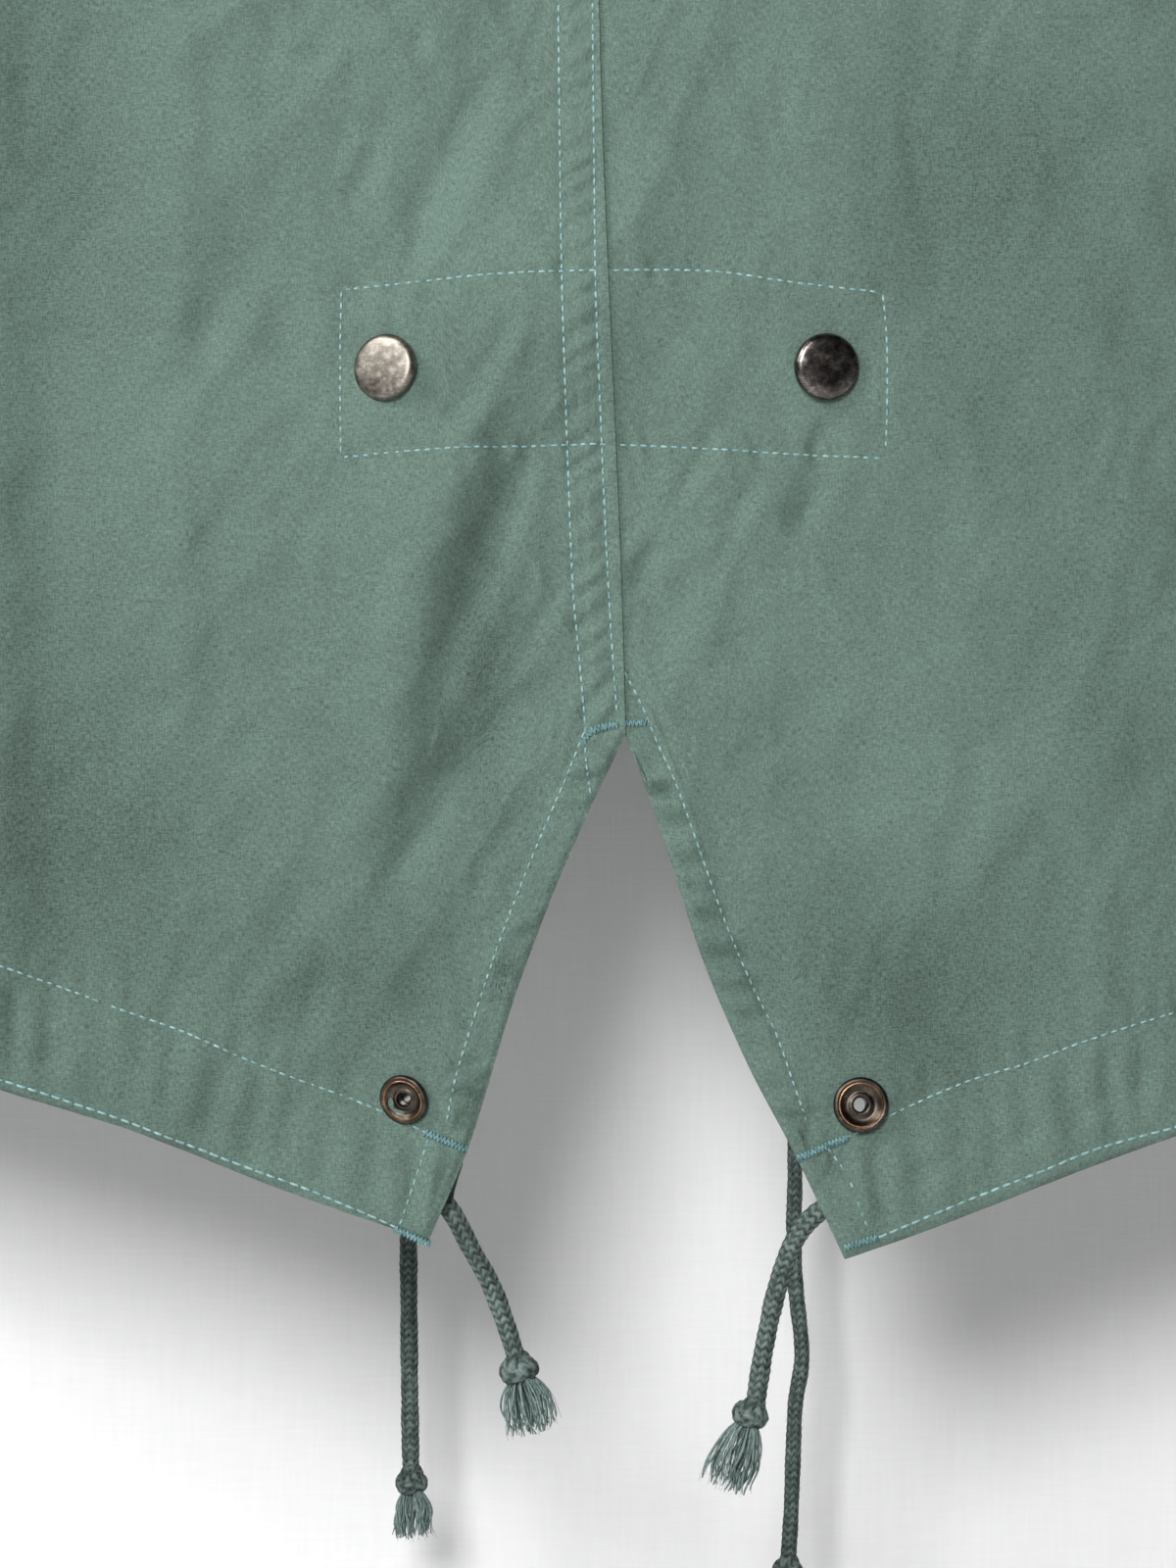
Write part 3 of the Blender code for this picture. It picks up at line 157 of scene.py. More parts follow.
# Creases, in mm.  fall lowers the side to the right of and below the route against the other
# side, which turns the cloth away from the light; dip lowers the whole crease.
Crease = namedtuple("Crease", "route width fall dip")
CREASE_STRENGTH = 1.25
BACK_CREASES = table(Crease,
    (((-25.8, 152), (-36.8, 128), (-47.9, 104)), 6.0, 2.2, -0.3),
    (((-22.3, 94), (-31.3, 78), (-39.7, 65)), 3.4, 1.8, -0.25),
    (((-21.5, 61), (-29.2, 38.5), (-36.0, 22.1), (-41.3, 4.6)), 6.0, 4.0, -0.6),
    (((-32.4, 62), (-45.7, 0), (-56.0, -42)), 9.5, -1.3, 0.5),
    (((-23.6, -5.0), (-34, -9), (-43.5, -19.9), (-52.3, -37.3)), 7.5, 3.2, -0.5),
    (((-11.9, 33.3), (-20.3, 21.0)), 3.2, 1.0, -0.25),
    (((-2.4, 12.1), (-8.8, 1.8)), 2.2, 1.1, -0.30),
    (((-64.9, -46), (-68.5, -62), (-73.4, -69.4), (-85.4, -65.1)), 3.4, 1.0, -0.5),
    (((-131.7, 190), (-131.7, 95)), 7.0, 0.9, -0.3),
    (((-124, 86), (-126, 20), (-121, -58)), 8.0, 1.0, -0.4),
    (((-95.3, 190), (-96.5, 90), (-95.3, 5)), 6.0, -0.9, 0.2),
    (((-58.9, -3.3), (-87.6, -2.2)), 3.0, 0.35, -0.15),
    (((91.1, -4.4), (31.5, -3.3)), 3.0, 0.30, -0.12),
    (((-111.8, -13.2), (-140.5, -13.2)), 3.0, 0.35, -0.15),
    (((69, 155), (72, 110)), 7.0, 1.0, -0.3),
    (((22.7, 70), (13.9, 54)), 3.6, 1.2, -0.3),
    (((49.2, 71), (40.4, 41)), 5.0, 1.2, -0.3),
    (((9.0, 44), (4.5, 30)), 4.0, 1.0, -0.4),
    (((26, 46), (14, 38), (8, 22)), 4.5, -0.8, 0.3),
    (((32, 58), (24, 44)), 3.0, 0.9, -0.2),
    (((36, -5), (62.4, -33), (88.9, -74)), 12.0, -0.6, -1.3),
    (((97.7, -11), (75.7, -40)), 5.0, -0.8, 0.2),
    (((21, 64), (11.7, 50.7)), 2.6, 0.9, -0.25),
    (((46.3, 70), (43, 64)), 2.0, 0.45, -0.1),
    (((49.4, 58), (39.9, 47)), 2.4, 0.5, -0.15),
    (((-99, -66), (-103.9, -88)), 2.8, 0.75, -0.30),
    (((-88.5, -82), (-92.7, -93)), 2.4, 0.65, -0.25),
    (((-76.1, -86), (-77.2, -96)), 2.2, 0.55, -0.20),
    (((-124, -71), (-134.1, -77)), 2.6, 0.60, -0.25),
    (((-111, -73), (-111.6, -86)), 2.4, 0.55, -0.20),
    (((75.2, -95), (67.1, -101)), 2.6, 0.70, -0.25),
    (((93.3, -89), (86, -95)), 2.4, 0.65, -0.25),
    (((110.1, -82), (101.5, -88)), 2.6, 0.60, -0.25),
    (((121.5, -71), (115.6, -84)), 2.6, 0.55, -0.25),
    (((-55, 160), (-66, 128), (-70, 96)), 9.0, -0.5, 0.2),
    (((20, 150), (34, 128)), 8.0, -0.6, -0.2),
    (((24, 20), (16, -8), (26, -30)), 8.0, 0.5, -0.3),
    (((106, 60), (98, 10), (108, -40)), 12.0, 0.6, -0.3),
    (((-60, 44), (-76, 4), (-84, -34)), 10.0, 0.5, -0.2),
    (((-96, -22), (-104, -52)), 6.0, 0.5, -0.3),
    (((4, 34), (12, 10)), 4.5, -0.4, -0.25),
    # the upper back, above the photo
    (((-30, 700), (-60, 560), (-52, 430)), 22.0, 2.2, -1.0),
    (((60, 720), (84, 600), (70, 480)), 20.0, -2.0, -1.0),
    (((-150, 690), (-110, 640), (-60, 610)), 10.0, 1.5, -1.2),
    (((150, 690), (112, 650), (66, 628)), 10.0, -1.3, -1.2),
    (((-200, 600), (-150, 540), (-90, 510)), 12.0, 1.6, -1.0),
    (((196, 590), (150, 520), (96, 480)), 12.0, -1.4, -1.0),
    (((-190, 420), (-150, 340), (-132, 230)), 14.0, 1.6, -0.8),
    (((176, 400), (140, 330), (124, 220)), 13.0, -1.5, -0.8),
    (((-20, 420), (-34, 330), (-26, 240)), 13.0, 1.4, -0.5),
    (((30, 380), (46, 300), (36, 210)), 12.0, -1.2, -0.5),
)
FRONT_CREASES = table(Crease,
    (((-40, 720), (-70, 600), (-60, 480)), 18.0, 2.0, -0.8),
    (((46, 700), (78, 590), (70, 470)), 18.0, -1.8, -0.8),
    (((-170, 640), (-120, 590), (-70, 560)), 10.0, 1.5, -1.0),
    (((172, 640), (124, 600), (74, 570)), 10.0, -1.4, -1.0),
    (((-60, 380), (-76, 250), (-66, 120)), 14.0, 1.6, -0.6),
    (((62, 360), (80, 240), (70, 110)), 14.0, -1.5, -0.6),
    (((-150, 300), (-136, 200), (-150, 70)), 12.0, 1.4, -0.6),
    (((150, 290), (134, 190), (146, 60)), 12.0, -1.4, -0.6),
    (((-36, 60), (-60, 20)), 5.0, 0.8, -0.4),
    (((44, 70), (60, 30)), 5.0, -0.8, -0.4),
    (((-210, 60), (-224, -10)), 8.0, 0.9, -0.4),
    (((208, 70), (222, -8)), 8.0, -0.9, -0.4),
)

# Short puckers across a sewn band, in mm; run_slant leans them.
Pucker = namedtuple("Pucker", "route half_width pitch height run_slant")
BACK_PUCKERS = table(Pucker,
    (((-10.6, 190), (-9.7, 99), (-8.9, 55), (-6.8, 15), (-4.6, 2)), 4.2, 5.9, 0.46, 0.55),
    (((-7.0, -6), (-16.8, -27), (-24.6, -47), (-31.2, -67), (-37, -84)), 4.2, 7.4, 1.25, 0.45),
    (((4.6, -9), (14.2, -27), (19.8, -42), (26.2, -58), (34.4, -77), (39, -88)), 4.2, 7.8, 1.20, -0.45),
    (((-42, -103), (-63, -95), (-85, -86), (-107, -75), (-141, -65), (-190, -49)), 10.0, 9.5, 0.84, 0.25),
    (((52, -102), (71, -94), (91, -87), (113, -78), (124, -75), (190, -55)), 10.0, 9.0, 0.80, -0.25),
    (((-52, -82), (-74, -74), (-96, -64), (-118, -57), (-141, -49), (-190, -33)), 4.6, 6.4, 0.50, 0.2),
    (((59, -82), (80, -74), (102, -66), (124, -59), (190, -39)), 4.6, 6.0, 0.48, -0.2),
    (((-63.5, 99.9), (-34.6, 103), (-3.8, 104.1), (36, 102.1), (58.2, 99.5)), 2.8, 6.5, 0.22, 0.3),
    (((-63.5, 62.2), (-45.7, 63.8), (-14.8, 65.1), (14, 64.6), (58.5, 62.2)), 3.4, 6.0, 0.29, 0.3),
)

# Painted shade (negative) and painted light on the back: zones where the cloth's colour is made darker or
# lighter as its folds shade or light it, in mm.
Fade = namedtuple("Fade", "u v reach_u reach_v amount")
PAINTED_SHADING = table(Fade,
    (-130.0, 130.0, 26.0, 100.0, -0.13),
    (-132.0, -25.0, 40.0, 48.0, -0.20),
    (-62.0, -56.0, 28.0, 22.0, -0.14),
    (-33.0, 14.0, 7.0, 28.0, -0.20),
    (-44.0, 125.0, 24.0, 26.0, 0.09),
    (84.0, 118.0, 30.0, 50.0, -0.13),
    (66.0, -58.0, 40.0, 28.0, -0.15),
    (104.0, 0.0, 26.0, 60.0, -0.06),
    (-90.0, -86.0, 40.0, 10.0, -0.06),
)

# ---------------------------------------------------------------- stitch rows on the back, in mm
SEAM_OUTER = ((-14.8, 190), (-14.8, 165.4), (-14.3, 121.3), (-13.9, 99.3), (-13.2, 77.2), (-12.6, 59.6),
              (-11.5, 33.1), (-9.9, 15.4), (-8.8, 2.2), (-8.6, -5.5), (-7.3, -15.0))
SEAM_INNER = ((-7.1, 190), (-7.1, 165.4), (-6.8, 132.4), (-6.4, 99.3), (-5.5, 77.2), (-4.6, 55.1),
              (-3.5, 33.1), (-2.4, 15.4), (-1.5, 3.3))
UPPER_SEAM_ROWS = (      # above the photo
    ((-14.6, 200.0), (-12.6, 300.0), (-10.6, 400.0), (-9.0, 600.0), (-8.4, 880.0)),
    ((-7.1, 200.0), (-6.6, 300.0), (-5.6, 400.0), (-4.2, 600.0), (-3.6, 880.0)),
)
PATCH_ROWS = (
    ((-63.5, 99.9), (-34.6, 103.0), (-14.8, 103.9), (-3.8, 104.1), (18.3, 104.3), (36.0, 102.1),
     (58.2, 99.5)),
    ((-63.5, 99.9), (-63.8, 81.6), (-63.5, 62.2)),
    ((-63.5, 62.2), (-45.7, 63.8), (-14.8, 65.1), (-3.8, 65.3), (13.9, 64.6), (36.0, 63.3),
     (58.5, 62.2)),
    ((58.2, 99.5), (59.1, 88.2), (59.1, 72.8), (58.7, 62.2)),
)
LEFT_NOTCH_ROWS = (
    ((-8.8, 1.1), (-13.7, -11.0), (-20.3, -26.5), (-28.0, -46.3), (-34.6, -66.2), (-37.9, -77.2),
     (-40.1, -88.2)),
    ((-43.9, -90.4), (-46.8, -99.3), (-50.5, -110.3)),
)
RIGHT_NOTCH_ROWS = (
    ((-0.2, 14.8), (4.0, 6.6), (7.7, -2.2), (11.7, -11.0), (17.2, -26.5), (22.7, -41.9), (29.3, -57.4),
     (33.8, -66.2), (37.7, -77.2), (41.5, -88.2)),
    ((45.5, -92.5), (50.3, -99.3), (53.6, -108.1), (55.8, -112.5)),
)
LEFT_TUNNEL_TOP = ((-35.4, -93.0), (-43.5, -89.8), (-52.3, -85.6), (-63.3, -81.2), (-74.3, -77.2),
                   (-85.4, -72.8), (-96.4, -67.9), (-107.4, -64.0), (-118.5, -60.0), (-133.9, -54.5),
                   (-145, -50.7), (-205, -33.0), (-262, -16.0))
LEFT_HEM_ROW = ((-50.4, -110.9), (-63.3, -105.4), (-74.3, -101.0), (-85.4, -97.1), (-103.0, -90.4),
                (-118.5, -84.9), (-129.5, -81.2), (-143, -77.0), (-205, -58.6), (-270, -41.0))
RIGHT_TUNNEL_TOP = ((38.8, -95.3), (50.3, -90.4), (59.1, -86.0), (71.3, -80.5), (80.1, -77.2),
                    (91.1, -73.9), (102.1, -69.5), (113.2, -65.7), (124.2, -62.4), (140, -57.5),
                    (200, -37.0), (262, -16.0))
RIGHT_HEM_ROW = ((56.9, -113.2), (71.3, -107.2), (91.1, -99.3), (106.5, -93.1), (124.2, -88.2),
                 (140, -83.4), (200, -64.0), (270, -43.0))
GROOVES = {
    -1: (SEAM_OUTER, SEAM_INNER, LEFT_TUNNEL_TOP, LEFT_HEM_ROW) + LEFT_NOTCH_ROWS,
    1: (RIGHT_TUNNEL_TOP, RIGHT_HEM_ROW) + RIGHT_NOTCH_ROWS,
}
Bartack = namedtuple("Bartack", "start end half_width")
BARTACKS = table(Bartack,
    ((-9.0, -1.2), (-7.2, 1.0), 0.55),
    ((-7.6, 1.0), (-1.4, 2.5), 0.85),
    ((-1.6, 2.5), (5.0, 2.9), 0.80),
    ((-44.8, -89.2), (-35.2, -93.0), 0.85),
    ((-51.6, -110.9), (-43.6, -114.2), 0.80),
    ((38.9, -95.2), (50.3, -90.5), 0.85),
    ((49.4, -115.3), (57.0, -113.1), 0.80),
)
Gauge = namedtuple("Gauge", "pitch length thickness")
TOPSTITCH = Gauge(2.35, 1.70, 0.28)
TURNED_STITCH = Gauge(2.35, 1.50, 0.26)
HEM_STITCH = Gauge(2.75, 2.35, 0.34)
GARMENT_STITCH = Gauge(3.2, 2.3, 0.36)
GROOVE_DEPTH = 0.30      # mm, of the line that a stitch row draws into the cloth
GROOVE_WIDTH = 0.85

# ---------------------------------------------------------------- snaps
Snap = namedtuple("Snap", "node x z radius turn_right turn_up")
PATCH_CAPS = table(Snap,
    ("patch_cap_left", -0.0506, -0.9297, 0.0075, -24.0, 5.0),
    ("patch_cap_right", 0.0478, -0.9293, 0.0075, 15.0, -3.0),
)
TAIL_EYELETS = table(Snap,
    ("tail_eyelet_left", -0.0465, -1.0936, 0.0057, -20.0, -14.0),
    ("tail_eyelet_right", 0.0558, -1.0952, 0.0062, 3.0, 4.0),
)
HOLE_RADIUS = 0.0016     # straight through a tail's snap
HOLE_CUT = 0.0030        # of the cloth, hidden under the eyelet's rim
SEAT_REACH = 9.0         # mm round a snap over which the cloth tilts with it
SEAT_SHARE = 0.55        # how much of the snap's tilt the cloth takes on
CAP_SEAT = 0.0003        # how deep a cap or an eyelet sits in the cloth

# ---------------------------------------------------------------- drawcords
Cord = namedtuple("Cord", "name length diameter lean knot_width knot_height tassel_length spread route")
CORDS = table(Cord,
    ("back_cord_left", 0.0450, 0.0044, (0.24, 0.0, -1.0), 0.0088, 0.0062, 0.0135, 1.35, (
        (-0.0440, -0.0457, -1.1141), (-0.0409, -0.0457, -1.1153), (-0.0380, -0.0457, -1.1176),
        (-0.0353, -0.0458, -1.1214), (-0.0320, -0.0460, -1.1278), (-0.0276, -0.0461, -1.1358),
        (-0.0243, -0.0463, -1.1444), (-0.0221, -0.0464, -1.1512))),
    ("back_cord_right", 0.0520, 0.0044, (-0.36, 0.0, -1.0), 0.0080, 0.0068, 0.0165, 1.15, (
        (0.0540, -0.0457, -1.1166), (0.0508, -0.0457, -1.1175), (0.0476, -0.0457, -1.1190),
        (0.0440, -0.0457, -1.1222), (0.0403, -0.0456, -1.1278), (0.0377, -0.0456, -1.1355),
        (0.0360, -0.0456, -1.1421), (0.0342, -0.0458, -1.1510), (0.0331, -0.0460, -1.1576),
        (0.0326, -0.0461, -1.1612))),
    ("front_cord_left", 0.2260, 0.0044, (0.06, 0.0, -1.0), 0.0078, 0.0070, 0.0125, 1.10, (
        (-0.0640, 0.0510, -0.9771), (-0.0600, 0.0510, -0.9767), (-0.0562, 0.0510, -0.9770),
        (-0.0524, 0.0507, -0.9803), (-0.0505, 0.0503, -0.9870), (-0.0502, 0.0494, -1.0300),
        (-0.0502, 0.0488, -1.0800), (-0.0500, 0.0486, -1.1300), (-0.0497, 0.0486, -1.1700),
        (-0.0494, 0.0486, -1.1912))),
    ("front_cord_right", 0.2520, 0.0038, (-0.05, 0.0, -1.0), 0.0074, 0.0068, 0.0150, 1.10, (
        (0.0640, 0.0508, -0.9771), (0.0600, 0.0509, -0.9767), (0.0556, 0.0509, -0.9769),
        (0.0500, 0.0506, -0.9795), (0.0466, 0.0502, -0.9865), (0.0458, 0.0494, -1.0300),
        (0.0458, 0.0488, -1.1127), (0.0455, 0.0486, -1.1314), (0.0459, 0.0486, -1.1470),
        (0.0473, 0.0486, -1.1606), (0.0473, 0.0486, -1.1674), (0.0459, 0.0486, -1.1760),
        (0.0454, 0.0486, -1.1861), (0.0448, 0.0486, -1.2031), (0.0442, 0.0486, -1.2132))),
)
CORD_POINT_STEP = 0.0035
BRAID_STEP = 0.00042     # between the rings of a cord's tube
BRAID_SIDES = 36
BRAID_COLUMNS = 6        # rows of chevrons round a cord
BRAID_PITCH = 0.0019     # between the plaits along it
KNOT_SIDES = 25
TASSEL_YARNS = 58
TASSEL_FIBRES = 46
KNOT_GAP = 0.0006
CORE_SIDES = 16          # of the core inside a knot
TUCK = 0.0018            # of a cord's end into its knot
YARN_WAVE = 0.0007
YARN_SWAY = 0.0034
FUZZ_SPACING = 0.0005    # of cord to each loose fibre
FUZZ_RADIUS = 0.000022

# ---------------------------------------------------------------- sleeves and hood
Ring = namedtuple("Ring", "number outer_x outer_z inner_x inner_z half_depth")
SLEEVE = table(Ring,
    (0, SHOULDER_X, SHOULDER_HEIGHT, UNDERARM_X, UNDERARM_HEIGHT, ARMHOLE_HALF_DEPTH),
    (1, 0.2600, -0.1640, 0.2785, -0.4100, 0.0460),
    (2, 0.2900, -0.1870, 0.2840, -0.4240, 0.0460),
    (3, 0.3210, -0.2300, 0.2890, -0.4450, 0.0460),
    (4, 0.3490, -0.2900, 0.2930, -0.4750, 0.0450),
    (5, 0.3720, -0.3600, 0.2970, -0.5150, 0.0440),
    (6, 0.3900, -0.4400, 0.3000, -0.5600, 0.0420),
    (7, 0.4020, -0.5250, 0.3030, -0.6100, 0.0400),
    (8, 0.4100, -0.6100, 0.3060, -0.6650, 0.0360),
    (9, 0.4150, -0.6900, 0.3080, -0.7200, 0.0320),
    (10, 0.4175, -0.7450, 0.3090, -0.7570, 0.0300),
)
SLEEVE_ROWS = 124
SLEEVE_COLUMNS = 90
Wrinkle = namedtuple("Wrinkle", "ring angle reach_rings reach_angle height lean")
SLEEVE_WRINKLES = table(Wrinkle,
    (3.2, 200.0, 0.9, 40.0, -0.0045, 0.0),
    (5.0, 150.0, 0.8, 45.0, -0.0050, 0.0),
    (6.1, 215.0, 0.8, 42.0, -0.0050, 0.0),
    (7.3, 160.0, 0.7, 48.0, -0.0045, 0.0),
    (4.2, 20.0, 1.0, 34.0, 0.0030, 0.0),
    (6.6, -35.0, 0.8, 40.0, -0.0035, 0.0),
    (8.4, 40.0, 0.8, 44.0, -0.0030, 0.0),
)
SLEEVE_CREASES = table(Wrinkle,
    (2.4, -90.0, 0.30, 60.0, -0.0022, 0.016),
    (3.6, -70.0, 0.26, 55.0, -0.0024, 0.014),
    (4.6, -100.0, 0.24, 50.0, -0.0020, -0.012),
    (5.4, -80.0, 0.22, 60.0, -0.0026, 0.012),
    (6.0, -110.0, 0.20, 46.0, -0.0022, -0.014),
    (6.8, -85.0, 0.22, 56.0, -0.0022, 0.010),
    (7.8, -95.0, 0.22, 50.0, -0.0018, -0.010),
    (8.9, -80.0, 0.20, 50.0, -0.0014, 0.008),
    (2.6, 95.0, 0.28, 60.0, -0.0022, -0.014),
    (3.9, 80.0, 0.26, 52.0, -0.0024, 0.012),
    (5.1, 105.0, 0.22, 56.0, -0.0024, -0.010),
    (5.9, 85.0, 0.20, 50.0, -0.0024, 0.012),
    (6.9, 100.0, 0.22, 52.0, -0.0020, -0.010),
    (8.2, 85.0, 0.22, 50.0, -0.0016, 0.008),
)
CUFF_ROWS = (9.55, 9.93)     # stitch rows near the cuff, as ring numbers

HoodRib = namedtuple("HoodRib", "angle rise roll drop spread come_back")
HOOD = table(HoodRib,
    (0.0, 0.014, 0.017, 0.290, 0.026, 0.232),
    (14.0, 0.014, 0.017, 0.288, 0.027, 0.228),
    (28.0, 0.015, 0.018, 0.276, 0.027, 0.214),
    (42.0, 0.018, 0.019, 0.236, 0.026, 0.176),
    (54.0, 0.022, 0.020, 0.168, 0.024, 0.118),
    (64.0, 0.026, 0.021, 0.098, 0.020, 0.062),
    (74.0, 0.030, 0.024, 0.048, 0.017, 0.026),
    (86.0, 0.032, 0.024, 0.029, 0.015, 0.014),
    (104.0, 0.033, 0.023, 0.027, 0.014, 0.013),
    (130.5, 0.034, 0.021, 0.028, 0.013, 0.012),
    (147.4, 0.035, 0.019, 0.031, 0.013, 0.012),
    (159.8, 0.036, 0.018, 0.034, 0.013, 0.012),
    (180.0, 0.037, 0.018, 0.037, 0.013, 0.012),
)
HOOD_LIFT = 0.0008
HOOD_CLEARANCE = 0.005
HOOD_FAN = 0.52
HOOD_FAN_DEPTH = 0.110
HOOD_LIP = 0.005
HOOD_RIBS = 84
HOOD_RELAX = 10
HOOD_RELAX_END = 72.0
RibStep = namedtuple("RibStep", "reach roll spread lift rise drop come_back layer")
RIB_STEPS = table(RibStep,
    (0.0, 0.0, 0.0, 0.0, 0.0, 0.0, 0.0, 0),
    (0.002, 0.0, 0.0, 0.0, 0.55, 0.0, 0.0, 0),
    (HOOD_LIP, 0.0, 0.0, 0.0, 1.0, 0.0, 0.0, 0),
    (HOOD_LIP, 0.4, 0.0, 0.006, 1.0, 0.0, 0.0, 0),
    (HOOD_LIP, 0.8, 0.0, -0.001, 1.0, 0.0, 0.0, 0),
    (HOOD_LIP, 1.0, 0.0, 0.0, 1.0, 0.36, 0.0, 1),
    (HOOD_LIP, 1.0, 0.0, 0.0, 1.0, 0.68, 0.0, 1),
    (HOOD_LIP, 1.0, 0.08, 0.0, 1.0, 0.94, 0.0, 1),
    (HOOD_LIP, 1.0, 0.5, -0.004, 1.0, 1.0, 0.0, 2),
    (HOOD_LIP, 1.0, 0.92, 0.0, 1.0, 0.95, 0.08, 3),
    (HOOD_LIP, 1.0, 1.0, 0.0, 1.0, 0.95, 0.52, 3),
    (HOOD_LIP, 1.0, 0.96, 0.0, 1.0, 0.95, 1.0, 3),
)
RIB_POINTS = 72
BACKED_SHARE = 0.95

# ---------------------------------------------------------------- hanger
HANGER_TIP_X = 0.214
HANGER_DROP = 0.0026
HANGER_PEAK = -0.100
HANGER_HALF_WIDTH = 0.0058
HANGER_DEPTH = 0.022
HOOK_RADIUS = 0.020
HOOK_WIRE = 0.0032
HOOK_NECK = ((0.0, 0.0, HANGER_PEAK + 0.0003), (0.0, 0.0, -0.082), (0.0005, 0.0, -0.066),
             (0.0065, 0.0, -0.051), (0.0155, 0.0, -0.040))

# ---------------------------------------------------------------- picture
CAMERA_PLACE = (-0.0055, -1.030, -1.023)
LENS = 100.0
SENSOR = 36.0            # on the picture's long side
WALL_Y = 0.084
FLOOR_Z = -1.560


# ================================================================ helpers
def smooth(value):
    t = np.clip(value, 0.0, 1.0)
    return t * t * (3.0 - 2.0 * t)


def in_mm(x, z):
    """A place of the view, right of and above the top of the notch."""
    return (x - APEX_X) / MM, (z - APEX_Z) / MM


def in_metres(flat):
    """The view's x and z of places on the back."""
    return APEX_X + flat[:, 0] * MM, APEX_Z + flat[:, 1] * MM


def along(rows, key, column, at):
    """A table's column as a smooth curve over its key column, held past both ends."""
    keys = np.array([getattr(row, key) for row in rows])
    values = np.array([getattr(row, column) for row in rows])
    order = np.argsort(keys)
    keys = keys[order]
    values = values[order]
    slopes = np.gradient(values, keys)
    at = np.clip(at, keys[0], keys[-1])
    index = np.clip(np.searchsorted(keys, at) - 1, 0, len(keys) - 2)
    span = keys[index + 1] - keys[index]
    t = (at - keys[index]) / span
    start = (1 + 2 * t) * (1 - t) ** 2 * values[index] + t * (1 - t) ** 2 * span * slopes[index]
    end = t * t * (3 - 2 * t) * values[index + 1] + t * t * (t - 1) * span * slopes[index + 1]
    return start + end


def smooth_route(points, step):
    """Evenly spaced points on a smooth curve through a route's own points, in 2-D or 3-D."""
    keys = np.array(points, dtype=float)
    keys = np.concatenate([[2 * keys[0] - keys[1]], keys, [2 * keys[-1] - keys[-2]]])
    t = (np.arange(16) / 16.0)[:, None]
    fine = []
    for a, b, c, d in zip(keys, keys[1:], keys[2:], keys[3:]):
        fine.append(0.5 * (2 * b + (c - a) * t + (2 * a - 5 * b + 4 * c - d) * t ** 2
                           + (3 * b - a - 3 * c + d) * t ** 3))
    fine = np.concatenate(fine + [keys[-2:-1]])
    lengths = np.concatenate([[0.0], np.cumsum(np.linalg.norm(np.diff(fine, axis=0), axis=1))])
    count = max(3, round(lengths[-1] / step))
    at = np.linspace(0.0, lengths[-1], count + 1)
    return np.stack([np.interp(at, lengths, fine[:, k]) for k in range(fine.shape[1])], axis=1)


def unit(vectors):
    return vectors / np.maximum(np.linalg.norm(vectors, axis=-1, keepdims=True), 1e-12)


def near_route(u, v, route):
    """Distance from a route, positive to its right looking down, and the length run along it."""
    best = np.full(u.shape, 1e9)
    signed = np.zeros(u.shape)
    run = np.zeros(u.shape)
    start = 0.0
    for a, b in zip(route, route[1:]):
        step_u = b[0] - a[0]
        step_v = b[1] - a[1]
        length = math.hypot(step_u, step_v)
        t = np.clip(((u - a[0]) * step_u + (v - a[1]) * step_v) / length ** 2, 0.0, 1.0)
        off_u = u - a[0] - t * step_u
        off_v = v - a[1] - t * step_v
        away = np.hypot(off_u, off_v)
        closer = away < best
        best = np.where(closer, away, best)
        signed = np.where(closer, away * np.sign(off_v * step_u - off_u * step_v), signed)
        run = np.where(closer, start + t * length, run)
        start += length
    return signed, run, start


def reached(u, v, route, margin):
    """Which places are near enough to a route to feel it."""
    points = np.array(route)
    low = points.min(axis=0) - margin
    high = points.max(axis=0) + margin
    return (u > low[0]) & (u < high[0]) & (v > low[1]) & (v < high[1])


# ================================================================ relief of the cloth, in mm
def felt(u, v, route, step, margin):
    """Places near a route: which they are, how far off it, how far along it, and its whole length."""
    route = smooth_route(route, step)
    near = reached(u, v, route, margin)
    if near.any():
        yield near, *near_route(u[near], v[near], route)


def add_creases(relief, u, v, creases):
    for crease in creases:
        for near, signed, run, length in felt(u, v, crease.route, 4.0, 3.0 * crease.width):
            ends = min(0.35 * length, 2.5 * crease.width)
            taper = smooth((run + 0.25 * ends) / ends) * smooth((length - run + 0.25 * ends) / ends)
            bell = np.exp(-(signed / crease.width) ** 2) * taper
            relief[near] += CREASE_STRENGTH * (crease.dip + crease.fall * signed / crease.width) * bell


def add_puckers(relief, u, v, puckers):
    for pucker in puckers:
        for near, signed, run, _ in felt(u, v, pucker.route, 3.0, 2.2 * pucker.half_width):
            at = (run + pucker.run_slant * signed) * 2.0 * math.pi / pucker.pitch
            wave = np.sin(at + 0.9 * np.sin(at * 0.273)) * (0.68 + 0.32 * np.sin(at * 0.187 + 1.0))
            relief[near] += pucker.height * wave * np.exp(-(signed / pucker.half_width) ** 4)


def add_grooves(relief, u, v, rows):
    for row in rows:
        for near, signed, _, _ in felt(u, v, row, 2.5, 3.0 * GROOVE_WIDTH):
            relief[near] -= GROOVE_DEPTH * np.exp(-(signed / GROOVE_WIDTH) ** 2)


LATTICE = 64             # cells after which the noise repeats


def lattice_noise(x, y, seed):
    """Smooth random heights between 0 and 1 over a square lattice."""
    heights = np.random.default_rng(seed).random((LATTICE, LATTICE))
    x, y = np.broadcast_arrays(x, y)
    low_x = np.floor(x).astype(int)
    low_y = np.floor(y).astype(int)
    t = smooth(x - low_x)
    s = smooth(y - low_y)

    def at(right, up):
        return heights[(low_x + right) % LATTICE, (low_y + up) % LATTICE]

    return (at(0, 0) * (1 - t) + at(1, 0) * t) * (1 - s) + (at(0, 1) * (1 - t) + at(1, 1) * t) * s


